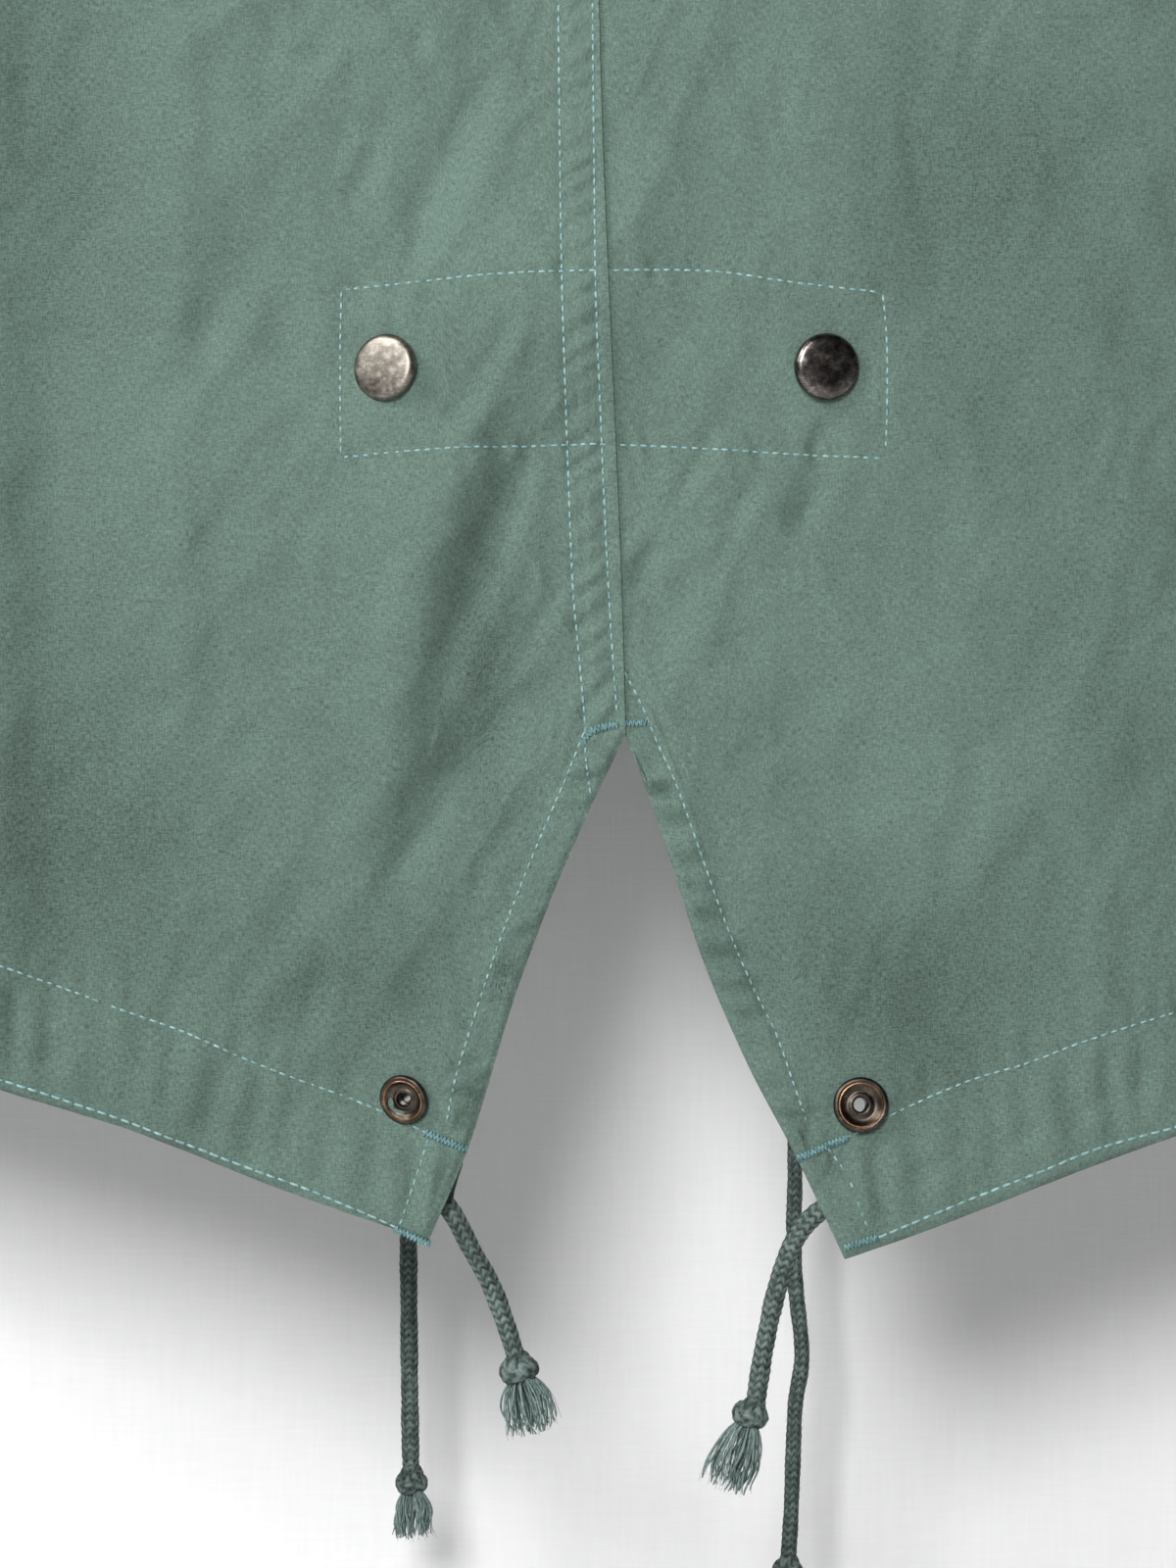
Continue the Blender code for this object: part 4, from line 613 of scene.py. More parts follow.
Crumple = namedtuple("Crumple", "across along angle height sharp")
CRUMPLES = table(Crumple,
    (31.0, 100.0, 70.0, 2.20, 0.0), (17.0, 46.0, 60.0, 1.20, 0.5), (13.0, 28.0, 114.0, 0.75, 0.6),
    (8.0, 17.0, 52.0, 0.46, 0.8), (5.4, 9.0, 84.0, 0.20, 0.8), (3.6, 5.0, 20.0, 0.07, 0.8),
)


def crumples(u, v, seed, turn=0.0, strength=1.0):
    """Soft packing creases, long and slanted like the photo's, in several sizes."""
    total = np.zeros(np.broadcast_shapes(u.shape, v.shape))
    for number, row in enumerate(CRUMPLES):
        angle = math.radians(row.angle + turn)
        ahead = (u * math.cos(angle) + v * math.sin(angle)) / row.along
        beside = (u * math.sin(angle) - v * math.cos(angle)) / row.across
        bend = 0.7 * lattice_noise(ahead * 0.9 + 11.0, beside * 0.5 + 3.0, seed + 50 + number)
        value = lattice_noise(ahead + 20.0 + bend, beside + 20.0 + 1.6 * bend, seed + number)
        mild = (value - 0.5) * 2.0 * (1.0 - row.sharp)
        folded = 1.0 - np.abs(2.0 * value - 1.0)
        total += strength * row.height * (mild + (folded - 0.5) * row.sharp * 1.6)
    return total


Wave = namedtuple("Wave", "length height")
WAVES = table(Wave, (61.0, 0.34), (43.0, 0.26), (29.0, 0.17), (19.0, 0.11), (12.5, 0.07), (8.3, 0.045))


def rumple(u, v, seed):
    """Gentle unevenness that soft cloth has all over."""
    total = np.zeros(np.broadcast_shapes(u.shape, v.shape))
    for number, row in enumerate(WAVES):
        for turn in range(3):
            angle = 2.1 * number + 1.05 * turn + seed
            phase = 3.7 * number + 2.3 * turn + 1.9 * seed
            ahead = u * math.cos(angle) + v * math.sin(angle)
            wobble = np.sin((u * math.sin(angle) - v * math.cos(angle)) * 2.6 / row.length + phase)
            total += np.sin(ahead * 2 * math.pi / row.length + phase + wobble) * row.height / 2.4
    return total


def distance(u, v, route, near):
    """How far the places near a route lie from it; all others count as far away."""
    away = np.full(u.shape, 99.0)
    away[near] = np.abs(near_route(u[near], v[near], route)[0])
    return away


def turned_edges(side, u, v):
    """Rise of the double cloth along the notch and in the hem, and the roll of both edges."""
    route = [in_mm(side * row.out, row.height) for row in EDGES[side]]
    away = distance(u, v, route, v < 24.0)
    notch = distance(u, v, route[:TIP], reached(u, v, route[:TIP], 16.0))
    hem = distance(u, v, route[TIP:], v < 0.0)
    strip = smooth((NOTCH_STRIP[side] + 0.004 * v - notch) / 1.5 + 0.5)
    hem_width = HEM_HEIGHT[side] / MM * 0.93
    inside = np.clip(hem / hem_width, 0.0, 1.0)
    puffed = np.where(hem < hem_width, np.sin(math.pi * inside ** 0.8), 0.0)
    return 0.55 * strip + 0.75 * puffed - 0.85 * np.exp(-(away / 0.95) ** 2)


def back_relief(side, x, z):
    """How far the cloth of the back stands off its plain form.

    The right panel has creases of its own, which begin gradually beside the centre seam.
    """
    u, v = in_mm(x, z)
    from_seam = (seam_at(z) - x) / MM
    gentle = rumple(u, v, 0.0)
    relief = gentle + crumples(u, v, 7, 0.0, 1.3)
    if side > 0:
        own = smooth((-from_seam - 3.0) / 30.0)
        relief = relief * (1.0 - own) + (gentle + crumples(u, v, 19, 22.0, 0.95)) * own
    add_creases(relief, u, v, BACK_CREASES)
    add_puckers(relief, u, v, BACK_PUCKERS)
    relief += turned_edges(side, u, v)
    if side < 0:
        lap = smooth((LAP_WIDTH - from_seam) / 1.6) * smooth((v + 16.0) / 12.0)
        relief += LAP_RISE * lap * (0.72 + 0.28 * smooth((4.0 - from_seam) / 4.0))
    add_grooves(relief, u, v, PATCH_ROWS + GROOVES[side])
    for snap in PATCH_CAPS + TAIL_EYELETS:
        off_u = (x - snap.x) / MM
        off_v = (z - snap.z) / MM
        reach = np.exp(-(np.hypot(off_u, off_v) / SEAT_REACH) ** 2)
        right, up = (math.tan(math.radians(turn)) for turn in (snap.turn_right, snap.turn_up))
        relief -= SEAT_SHARE * (right * off_u + up * off_v) * reach
    return relief


def front_relief(x, z):
    """How far the cloth of the front stands off its plain form."""
    u, v = in_mm(x, z)
    relief = rumple(u, v, 2.0) + crumples(u, v, 31)
    add_creases(relief, u, v, FRONT_CREASES)
    return relief


# ================================================================ the body's surface
def shoulder_line(share, dip):
    neck = NECK_HEIGHT - dip * (1.0 - np.minimum(share / NECK_SHARE, 1.0) ** 2)
    t = np.maximum(share - NECK_SHARE, 0.0) / (1.0 - NECK_SHARE)
    return np.where(share <= NECK_SHARE, neck, NECK_HEIGHT + (SHOULDER_HEIGHT - NECK_HEIGHT) * t)


def folds_at(folds, x, z):
    total = np.zeros(x.shape)
    for fold in folds:
        line_x = fold.x_low - fold.x_top
        line_z = fold.z_low - fold.z_top
        t = ((x - fold.x_top) * line_x + (z - fold.z_top) * line_z) / (line_x ** 2 + line_z ** 2)
        t = np.clip(t, 0.0, 1.0)
        away = np.hypot(x - fold.x_top - t * line_x, z - fold.z_top - t * line_z)
        total += fold.height * np.exp(-(away / fold.half_width) ** 2)
    return total


def seam_at(z, front=False):
    """Where the centre lies at a height."""
    return np.zeros(z.shape) if front else along(BACK_SEAM, "height", "x", z)


def arm_share(z, top):
    """How far up a height lies between the underarm and the shoulder."""
    return np.clip((z - UNDERARM_HEIGHT) / (top - UNDERARM_HEIGHT), 0.0, 1.0)


def body_depth(side, share, x, z, arm, top, front):
    """How far the outside of the coat lies from the plane through the side seams."""
    share = np.abs(share)
    full = along(BODY, "height", "front_depth" if front else "back_depth", z)
    section = np.maximum(1.0 - share ** SECTION_POWER, 0.0) ** (1.0 / SECTION_POWER)
    below = np.clip((top - z) / SHOULDER_ROLL, 0.0, 1.0)
    opened = np.sqrt(1.0 - (1.0 - below) ** 2)
    neck_depth = NECK_FRONT if front else NECK_BACK
    neck = neck_depth * np.sqrt(np.maximum(0.0, 1.0 - (share / NECK_SHARE) ** 2))
    armhole = 2.0 * ARMHOLE_HALF_DEPTH * np.sqrt(arm * (1.0 - arm))
    armhole = armhole * (smooth(arm / ARMHOLE_EASE) * (1.0 - share ** 14) + share ** 14)
    depth = neck * (1.0 - opened) + full * opened * section + armhole * (1.0 - section)
    fade = smooth((1.0 - share) / FOLD_SIDE_FADE) * smooth((top - z) / FOLD_TOP_FADE)
    relief = front_relief(x, z) if front else back_relief(side, x, z)
    depth += (folds_at(FRONT_FOLDS if front else BACK_FOLDS, x, z) + relief * MM) * fade
    return np.maximum(depth, LEAST_DEPTH)


def half_width_at(z, arm):
    plain = along(BODY, "height", "half_width", z)
    return np.where(arm > 0.0, UNDERARM_X + (SHOULDER_X - UNDERARM_X) * arm, plain)


def on_surface(side, share, x, z, arm, top, front):
    y = body_depth(side, share, x, z, arm, top, front)
    return np.stack([x, y if front else -y, z], axis=-1)


def body_points(side, share, z, arm, top, front):
    """Points of the coat's outside at given shares of the way from its centre to its side."""
    x = seam_at(z, front) * (1.0 - share) + side * half_width_at(z, arm) * share
    return on_surface(side, share, x, z, arm, top, front)


def body_at(side, x, z, front=False):
    """Points of the coat's outside at given places of the view."""
    seam = seam_at(z, front)
    arm = np.zeros(z.shape)
    for _ in range(5):
        half = half_width_at(z, arm)
        share = np.clip((side * x - side * seam) / (half - side * seam), 0.0, 1.0)
        top = shoulder_line(share, NECK_DIP_FRONT if front else NECK_DIP_BACK)
        arm = arm_share(z, top)
    return on_surface(side, share, x, z, arm, top, front)


def grid_normals(grid, outwards, closed=False):
    if closed:
        ahead = np.roll(grid, -1, axis=1) - np.roll(grid, 1, axis=1)
    else:
        ahead = np.gradient(grid, axis=1)
    normals = unit(np.cross(ahead, np.gradient(grid, axis=0)))
    middle = normals[grid.shape[0] // 2, grid.shape[1] // 2]
    return -normals if np.dot(middle, outwards) < 0 else normals


# ================================================================ pieces
def finish_piece(piece, slot, material, replaces=()):
    """Material, body and the solids that a piece stands for; slot is not used."""
    if piece.data.materials:
        piece.data.materials[0] = material
    else:
        piece.data.materials.append(material)
    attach(piece, "root")
    if replaces:
        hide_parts(*replaces)
    return piece


def stands_for(piece, name, material):
    """Finishes a piece that takes one solid's place."""
    return finish_piece(piece, name, material, [name])


def mesh_piece(name, points, faces, sharp=None):
    mesh = bpy.data.meshes.new(name)
    mesh.from_pydata([tuple(p) for p in points], [], [tuple(f) for f in faces])
    mesh.shade_smooth()
    if sharp:
        mesh.set_sharp_from_angle(angle=math.radians(sharp))
    mesh.update()
    piece = bpy.data.objects.new(name, mesh)
    bpy.context.scene.collection.objects.link(piece)
    return piece


def cell_faces(rows, columns, closed, first=0, keep=None, flip=False):
    """Faces of a grid of points, row by row."""
    row = np.arange(rows - 1)[:, None]
    column = np.arange(columns if closed else columns - 1)[None, :]
    a = first + row * columns + column
    b = first + row * columns + (column + 1) % columns
    c = first + (row + 1) * columns + (column + 1) % columns
    d = first + (row + 1) * columns + column
    faces = np.stack([a, d, c, b] if flip else [a, b, c, d], axis=-1)
    return faces[keep] if keep is not None else faces.reshape(-1, 4)


def mark(piece, name, kind, key, values):
    """Numbers that each point of a piece carries for its material."""
    made = piece.data.attributes.new(name, kind, "POINT")
    made.data.foreach_set(key, values.astype(np.float32).ravel())


def painted_shading_at(x, z):
    """Painted shade and light: how much darker or lighter the cloth is made at places of the back."""
    u, v = in_mm(x, z)
    total = np.zeros(x.shape)
    for fade in PAINTED_SHADING:
        off = ((u - fade.u) / fade.reach_u) ** 2 + ((v - fade.v) / fade.reach_v) ** 2
        total += fade.amount * np.exp(-off)
    return total


def clean(piece, merge=0.0):
    """Faces turned outwards, no point left over, and with merge no two points in one place."""
    form = bmesh.new()
    form.from_mesh(piece.data)
    if merge:
        bmesh.ops.remove_doubles(form, verts=form.verts, dist=merge)
    bmesh.ops.recalc_face_normals(form, faces=form.faces)
    loose = [point for point in form.verts if not point.link_faces]
    bmesh.ops.delete(form, geom=loose, context="VERTS")
    form.to_mesh(piece.data)
    form.free()


def shell(name, outer, inner, cloth, closed=False, keep=None, painted_shading=False):
    """Closed wall between two grids of points; cloth says where each lies on the flat cloth, in metres."""
    rows, columns = outer.shape[:2]
    size = rows * columns
    points = np.concatenate([outer.reshape(-1, 3), inner.reshape(-1, 3)])
    faces = [cell_faces(rows, columns, closed, 0, keep),
             cell_faces(rows, columns, closed, size, keep, True)]
    column = np.arange(columns if closed else columns - 1)
    after = (column + 1) % columns
    rims = [(row * columns + column, row * columns + after, flip)
            for row, flip in ((0, False), (rows - 1, True))]
    if not closed:
        base = np.arange(rows - 1) * columns
        rims += [(base + edge, base + edge + columns, flip)
                 for edge, flip in ((0, True), (columns - 1, False))]
    for start, end, flip in rims:
        rim = np.stack([start, size + start, size + end, end], axis=-1)
        faces.append(rim[:, ::-1] if flip else rim)
    if keep is not None:
        faces.append(hole_rims(keep, columns, size))
    piece = mesh_piece(name, points, np.concatenate(faces), sharp=55)
    flat = np.stack([cloth[0], cloth[1], np.zeros(cloth[0].shape)], axis=-1).reshape(-1, 3)
    mark(piece, "cloth", "FLOAT_VECTOR", "vector", np.concatenate([flat, flat]))
    # the back's points carry the painted shade and light of its fold zones in the fade attribute
    if painted_shading:
        mark(piece, "fade", "FLOAT", "value", painted_shading_at(points[:, 0], points[:, 2]))
    clean(piece)
    return piece


def hole_rims(keep, columns, size):
    """Short walls that join both layers round each hole."""
    rims = []
    solid = np.pad(keep, 1)
    for row, column in zip(*np.where(~keep)):
        corners = ((row, column), (row, column + 1), (row + 1, column + 1), (row + 1, column))
        beyond = ((row, column + 1), (row + 1, column + 2), (row + 2, column + 1), (row + 1, column))
        for start, end, cell in zip(corners, corners[1:] + corners[:1], beyond):
            if solid[cell]:
                a, b = (corner[0] * columns + corner[1] for corner in (start, end))
                rims.append((a, b, size + b, size + a))
    return np.array(rims)


def run_along(grid, axis):
    """Length run along a grid's rows or columns, for the weave's coordinates."""
    steps = np.linalg.norm(np.diff(grid, axis=axis), axis=-1)
    start = np.zeros_like(np.take(steps, [0], axis=axis))
    return np.cumsum(np.concatenate([start, steps], axis=axis), axis=axis)


# ================================================================ materials
def new_material(name):
    """A material with its tree and its shader."""
    made = bpy.data.materials.new(name)
    made.use_nodes = True
    return made, made.node_tree, made.node_tree.nodes["Principled BSDF"]


def fill(tree, made, **values):
    """Sets what a node says: plain values as they are, outputs of other nodes as links."""
    for key, value in values.items():
        if hasattr(made, key):
            setattr(made, key, value)
        elif isinstance(value, bpy.types.NodeSocket):
            tree.links.new(value, made.inputs[key.replace("_", " ")])
        else:
            made.inputs[key.replace("_", " ")].default_value = value
    return made


def node(tree, kind, **values):
    return fill(tree, tree.nodes.new(kind), **values)


def object_place(tree):
    return node(tree, "ShaderNodeTexCoord").outputs["Object"]


def attribute(tree, name, output):
    return node(tree, "ShaderNodeAttribute", attribute_name=name).outputs[output]


def noise(tree, vector, stretch, detail=3.0, roughness=0.55):
    """Cloudy noise with so many clouds to the metre along each axis."""
    mapping = node(tree, "ShaderNodeMapping", Vector=vector, Scale=stretch)
    made = node(tree, "ShaderNodeTexNoise", Vector=mapping.outputs["Vector"], Scale=1.0, Detail=detail,
                Roughness=roughness)
    return made.outputs["Fac"]


def maths(tree, operation, first, second):
    made = node(tree, "ShaderNodeMath", operation=operation)
    for socket, value in zip(made.inputs, (first, second)):
        if isinstance(value, (int, float)):
            socket.default_value = value
        else:
            tree.links.new(value, socket)
    return made.outputs[0]


def mixed(tree, *parts):
    """Sum of outputs, each times its own share."""
    total = None
    for part, share in parts:
        scaled_part = maths(tree, "MULTIPLY", part, share)
        total = scaled_part if total is None else maths(tree, "ADD", total, scaled_part)
    return total


def ramp(tree, fac, *stops):
    made = node(tree, "ShaderNodeValToRGB", Fac=fac)
    band = made.color_ramp
    while len(band.elements) < len(stops):
        band.elements.new(0.5)
    for element, (place, colour) in zip(band.elements, stops):
        element.position = place
        element.color = (*colour, 1.0)
    return made.outputs["Color"]


def bump(tree, height, distance, strength, **before):
    made = node(tree, "ShaderNodeBump", Distance=distance, Strength=strength, Height=height, **before)
    return made.outputs["Normal"]


def scaled(colour, factor):
    return tuple(channel * factor for channel in colour)


CLOTH_COLOUR = (0.0955, 0.1445, 0.1210)


def cloth_material():
    """Plain-woven cotton: uneven yarns both ways, small crumples, mottling from washing, and on the back
    painted shade and light.
    """
    made, tree, shader = new_material("cotton")
    place = attribute(tree, "cloth", "Vector")
    weave = maths(tree, "ADD", noise(tree, place, (2700.0, 760.0, 1.0), 1.0),
                  noise(tree, place, (760.0, 2700.0, 1.0), 1.0))
    slubs = noise(tree, place, (150.0, 1500.0, 1.0), 1.0)
    cloudy = noise(tree, place, (22.0, 22.0, 22.0), 4.0)
    patchy = noise(tree, place, (190.0, 190.0, 190.0), 4.0)
    tone = mixed(tree, (weave, 0.70), (slubs, 0.16), (cloudy, 0.24), (patchy, 0.14))
    # painted shade and light: the fade attribute darkens or lightens the back where its folds shade or light
    # it
    tone = maths(tree, "ADD", tone, attribute(tree, "fade", "Fac"))
    tone = maths(tree, "SUBTRACT", tone, 0.46)
    colour = ramp(tree, tone, (0.0, scaled(CLOTH_COLOUR, 0.30)), (0.5, CLOTH_COLOUR),
                  (1.0, scaled(CLOTH_COLOUR, 1.75)))
    crumpled = bump(tree, noise(tree, place, (130.0, 80.0, 1.0), 3.0, 0.5), 0.0010, 0.50)
    fill(tree, shader, Base_Color=colour, Roughness=0.92, Specular_IOR_Level=0.20, Sheen_Weight=0.08,
         Sheen_Roughness=0.5, Normal=bump(tree, weave, 0.00009, 0.60, Normal=crumpled))
    return made


def grained_material(name, grain, detail, dark, light, relief, **finish):
    """A surface that one noise colours and roughens."""
    made, tree, shader = new_material(name)
    place = object_place(tree)
    uneven = noise(tree, place, grain, detail)
    fill(tree, shader, Base_Color=ramp(tree, uneven, dark, light), **finish)
    if relief:
        fill(tree, shader, Normal=bump(tree, uneven, *relief))
    return made


def cord_material():
    """Braided cotton: fibrous plaits, with painted shade darkening the gaps between them."""
    made, tree, shader = new_material("braided_cotton")
    place = object_place(tree)
    fibres = noise(tree, place, (2600.0, 2600.0, 900.0), 2.0)
    cloudy = noise(tree, place, (300.0, 300.0, 300.0))
    # painted shade: the lower a point of the braid stands between its plaits, the darker it is made
    painted_gap_shade = maths(tree, "SUBTRACT", attribute(tree, "plait", "Fac"), 1.05)
    tone = mixed(tree, (maths(tree, "ADD", fibres, cloudy), 0.60), (painted_gap_shade, 0.56))
    colour = ramp(tree, tone, (0.0, (0.010, 0.014, 0.013)), (0.36, (0.054, 0.075, 0.069)),
                  (0.74, (0.190, 0.240, 0.225)))
    fill(tree, shader, Base_Color=colour, Roughness=0.95, Specular_IOR_Level=0.2,
         Normal=bump(tree, fibres, 0.0002, 0.6))
    return made


def metal_material(name, base, worn, wear_from, roughness):
    """Plated metal: clouded plating, fine scratches and rubbed high places."""
    made, tree, shader = new_material(name)
    place = object_place(tree)
    clouds = noise(tree, place, (420.0, 420.0, 420.0), 5.0, 0.65)
    scratches = noise(tree, place, (700.0, 700.0, 5200.0), 3.0)
    tone = mixed(tree, (clouds, 0.75), (scratches, 0.25))
    colour = ramp(tree, tone, (wear_from - 0.16, scaled(base, 0.45)), (wear_from, base),
                  (wear_from + 0.16, worn))
    rough = maths(tree, "ADD", maths(tree, "MULTIPLY", clouds, 0.35), roughness - 0.16)
    fill(tree, shader, Base_Color=colour, Metallic=1.0, Roughness=rough,
         Normal=bump(tree, tone, 0.0001, 0.35))
    return made


def paper_material(name, level):
    """Plain painted surface with a faint laid grain, behind and below the coat."""
    made, tree, shader = new_material(name)
    place = object_place(tree)
    grain = maths(tree, "ADD", noise(tree, place, (900.0, 900.0, 70.0), 2.0),
                  noise(tree, place, (70.0, 70.0, 1100.0), 2.0))
    grey = (level, level, level)
    tone = ramp(tree, maths(tree, "MULTIPLY", grain, 0.5), (0.3, scaled(grey, 0.975)),
                (0.7, scaled(grey, 1.025)))
    fill(tree, shader, Base_Color=tone, Roughness=0.9, Specular_IOR_Level=0.1,
         Normal=bump(tree, grain, 0.0003, 0.10))
    return made


COTTON = cloth_material()
THREAD = grained_material("thread", (900.0, 900.0, 900.0), 2.0, (0.3, (0.110, 0.225, 0.230)),
                          (0.7, (0.290, 0.450, 0.455)), (0.0001, 0.4), Roughness=0.60)
BARTACK_THREAD = grained_material("bartack_thread", (1300.0, 1300.0, 1300.0), 2.0,
                                  (0.3, (0.040, 0.105, 0.110)), (0.7, (0.150, 0.285, 0.290)), None,
                                  Roughness=0.60)
BRAID = cord_material()
YARN = grained_material("loose_yarn", (2600.0, 2600.0, 700.0), 2.0, (0.30, (0.050, 0.080, 0.074)),
                        (0.72, (0.235, 0.320, 0.300)), (0.0001, 0.5), Roughness=0.95)
PEWTER = metal_material("pewter", (0.205, 0.186, 0.160), (0.40, 0.37, 0.33), 0.50, 0.42)
# painted shade: a darker copy of the pewter for the right patch cap, which turns away from the light; its
# lower roughness is the cap's own polish
SHADED_PEWTER = metal_material("shaded_pewter", (0.160, 0.142, 0.130), (0.50, 0.46, 0.43), 0.55, 0.27)
BRONZE = metal_material("bronze", (0.105, 0.087, 0.072), (0.36, 0.26, 0.17), 0.60, 0.38)
COPPER = metal_material("copper", (0.36, 0.20, 0.10), (0.60, 0.38, 0.20), 0.50, 0.34)
STEEL = metal_material("steel", (0.55, 0.55, 0.56), (0.75, 0.75, 0.76), 0.50, 0.26)
BEECH = grained_material("beech", (14.0, 260.0, 260.0), 5.0, (0.3, (0.25, 0.145, 0.070)),
                         (0.7, (0.50, 0.33, 0.18)), (0.0003, 0.25), Roughness=0.42, Coat_Weight=0.25)


# ================================================================ stitches
def sewn_line(points, normals, gauge):
    """Centres, spans, outward normals and thicknesses of the stitches along a line."""
    steps = np.linalg.norm(np.diff(points, axis=0), axis=1)
    run = np.concatenate([[0.0], np.cumsum(steps)])
    pitch = gauge.pitch * MM
    at = (np.arange(int(run[-1] / pitch)) + 0.5) * pitch
    half = gauge.length * MM / 2.0

    def read(values, where):
        return np.stack([np.interp(where, run, values[:, k]) for k in range(3)], axis=1)

    spans = read(points, at + half) - read(points, at - half)
    return read(points, at), spans, unit(read(normals, at)), np.full(len(at), gauge.thickness * MM)


# A stitch's form: rings are rows of reach, girth and lift.  The plain one is for what the photo doesn't show.
StitchForm = namedtuple("StitchForm", "sides rings")
FINE_STITCH = StitchForm(6, ((-1.0, 0.30, -0.55), (-0.80, 0.85, 0.0), (0.0, 1.0, 0.35), (0.80, 0.85, 0.0),
                             (1.0, 0.30, -0.55)))
PLAIN_STITCH = StitchForm(4, ((-1.0, 0.40, -0.4), (0.0, 1.0, 0.35), (1.0, 0.40, -0.4)))


def stitch_mesh(name, lines, form=FINE_STITCH):
    """One mesh of all the stitches of some lines: each a short, slightly arched thread."""
    centres, spans, outs, thick = (np.concatenate(parts) for parts in zip(*lines))
    thick = thick[:, None]
    ahead = unit(spans)
    across = unit(np.cross(ahead, outs))
    outs = np.cross(across, ahead)
    points = []
    for reach, girth, lift in form.rings:
        middle = centres + spans * reach / 2.0 + outs * thick * lift
        for side in range(form.sides):
            angle = 2.0 * math.pi * side / form.sides
            points.append(middle + across * thick * girth * math.cos(angle)
                          + outs * thick * girth * 0.7 * math.sin(angle))
    points = np.stack(points, axis=1)
    rings = len(form.rings)
    quads = cell_faces(rings, form.sides, True, flip=True)
    caps = np.array([[0, 1, 2, 3], [0, 3, 4, 5]][:form.sides // 2 - 1])
    block = np.concatenate([quads, caps, caps[:, ::-1] + (rings - 1) * form.sides])
    every = block[None] + (np.arange(len(centres)) * rings * form.sides)[:, None, None]
    return mesh_piece(name, points.reshape(-1, 3), every.reshape(-1, 4))


ROW_STEP = 0.8           # mm, between a stitch row's own points
NUDGE = 0.0005           # to the places that give a row its normals


def on_back(side, row):
    """A stitch row's points on the back and the outward normals there."""
    x, z = in_metres(smooth_route(row, ROW_STEP))
    here = body_at(side, x, z)
    right = body_at(side, x + NUDGE, z)
    above = body_at(side, x, z + NUDGE)
    return here, unit(np.cross(right - here, above - here))


def split_at_seam(row):
    """A row across the centre seam, as its left and right parts."""
    flat = smooth_route(row, ROW_STEP)
    right = flat[:, 0] >= (seam_at(in_metres(flat)[1]) - APEX_X) / MM
    return [(side, part) for side, part in ((-1, flat[~right]), (1, flat[right])) if len(part) > 3]


def back_stitches():
    rows = [(side, part, TOPSTITCH) for row in PATCH_ROWS for side, part in split_at_seam(row)]
    rows += [(-1, row, TOPSTITCH) for row in (SEAM_OUTER, SEAM_INNER, *UPPER_SEAM_ROWS)]
    rows += [(-1, row, TURNED_STITCH) for row in LEFT_NOTCH_ROWS]
    rows += [(1, row, TURNED_STITCH) for row in RIGHT_NOTCH_ROWS]
    rows += [(-1, LEFT_TUNNEL_TOP, TOPSTITCH), (1, RIGHT_TUNNEL_TOP, TOPSTITCH)]
    rows += [(-1, LEFT_HEM_ROW, HEM_STITCH), (1, RIGHT_HEM_ROW, HEM_STITCH)]
    lines = [sewn_line(*on_back(side, row), gauge) for side, row, gauge in rows]
    finish_piece(stitch_mesh("back_topstitching", lines), "back_seam_lap", THREAD)


TACK_PITCH = 0.42        # mm
TACK_THREAD = 0.00027
TACK_LIFT = 0.00032      # of the zigzag over its low core


def bartacks():
    """Dense zigzags that close the seam's end and the tunnels' ends."""
    lines = []
    for tack in BARTACKS:
        start = np.array(tack.start)
        end = np.array(tack.end)
        length = np.linalg.norm(end - start)
        ahead = (end - start) / length
        across = np.array([-ahead[1], ahead[0]])
        count = int(length / TACK_PITCH)
        flat = []
        for number in range(count + 1):
            middle = start + ahead * length * number / count
            flat.append(middle + across * (tack.half_width * (1 if number % 2 else -1)))
        side = -1 if tack.end[0] < 0.0 else 1
        zigzag = body_at(side, *in_metres(np.array(flat)))
        zigzag[:, 1] -= TACK_LIFT
        core = body_at(side, *in_metres(np.array([start, end])))
        core = np.linspace(core[0], core[1], 4)
        for line, longer, thick in ((zigzag, 1.08, TACK_THREAD), (core, 1.0, tack.half_width * 0.6 * MM)):
            count = len(line) - 1
            lines.append(((line[:-1] + line[1:]) / 2.0, (line[1:] - line[:-1]) * longer,
                          np.tile(BACKWARDS, (count, 1)), np.full(count, thick)))
    finish_piece(stitch_mesh("back_bartacks", lines), "back_seam_lap", BARTACK_THREAD)


# ================================================================ body panels
FINE_TOP = -0.838        # above it the grid is coarser
FINE_ROWS = 200
MIDDLE_ROWS = 56
ARM_ROWS = 26
SIDE_STEPS = 16
FINE_REACH = 0.050       # from the notch's edge, with a column each FINE_STEP
FINE_STEP = 0.00065
PHOTO_REACH = 0.140      # from the centre, with a column each PHOTO_STEP
PHOTO_STEP = 0.0015
UNDER_LAP = (-0.0085, -0.0040)       # shares of the right panel's columns under the seam's lap
FRONT_FINE_TOP = -0.800
FRONT_FINE_ROWS = 66


def body_grid(side, shares, bottoms, fine_top, fine_rows, front):
    """Outside of a panel: fine rows up from its hem, coarser ones above, and those of the armhole."""
    top = shoulder_line(np.abs(shares), NECK_DIP_FRONT if front else NECK_DIP_BACK)
    none = np.zeros(shares.shape)
    rows = [(bottoms + (fine_top - bottoms) * row / fine_rows, none) for row in range(fine_rows)]
    for row in range(MIDDLE_ROWS):
        rows.append((none + (fine_top + (UNDERARM_HEIGHT - fine_top) * row / MIDDLE_ROWS), none))
    for row in range(ARM_ROWS + 1):
        arm = (1.0 - math.cos(math.pi * row / ARM_ROWS)) / 2.0
        rows.append((UNDERARM_HEIGHT + (top - UNDERARM_HEIGHT) * arm, none + arm))
    z, arm = np.array(rows).swapaxes(0, 1)
    share, top = (np.tile(values, (len(rows), 1)) for values in (shares, top))
    return body_points(side, share, z, arm, top, front)


def edge_height(edge, out):
    notch = along(edge[:TIP + 1], "out", "height", np.minimum(out, edge[TIP].out))
    hem = along(edge[TIP:], "out", "height", np.maximum(out, edge[TIP].out))
    return np.where(out <= edge[TIP].out, notch, hem)


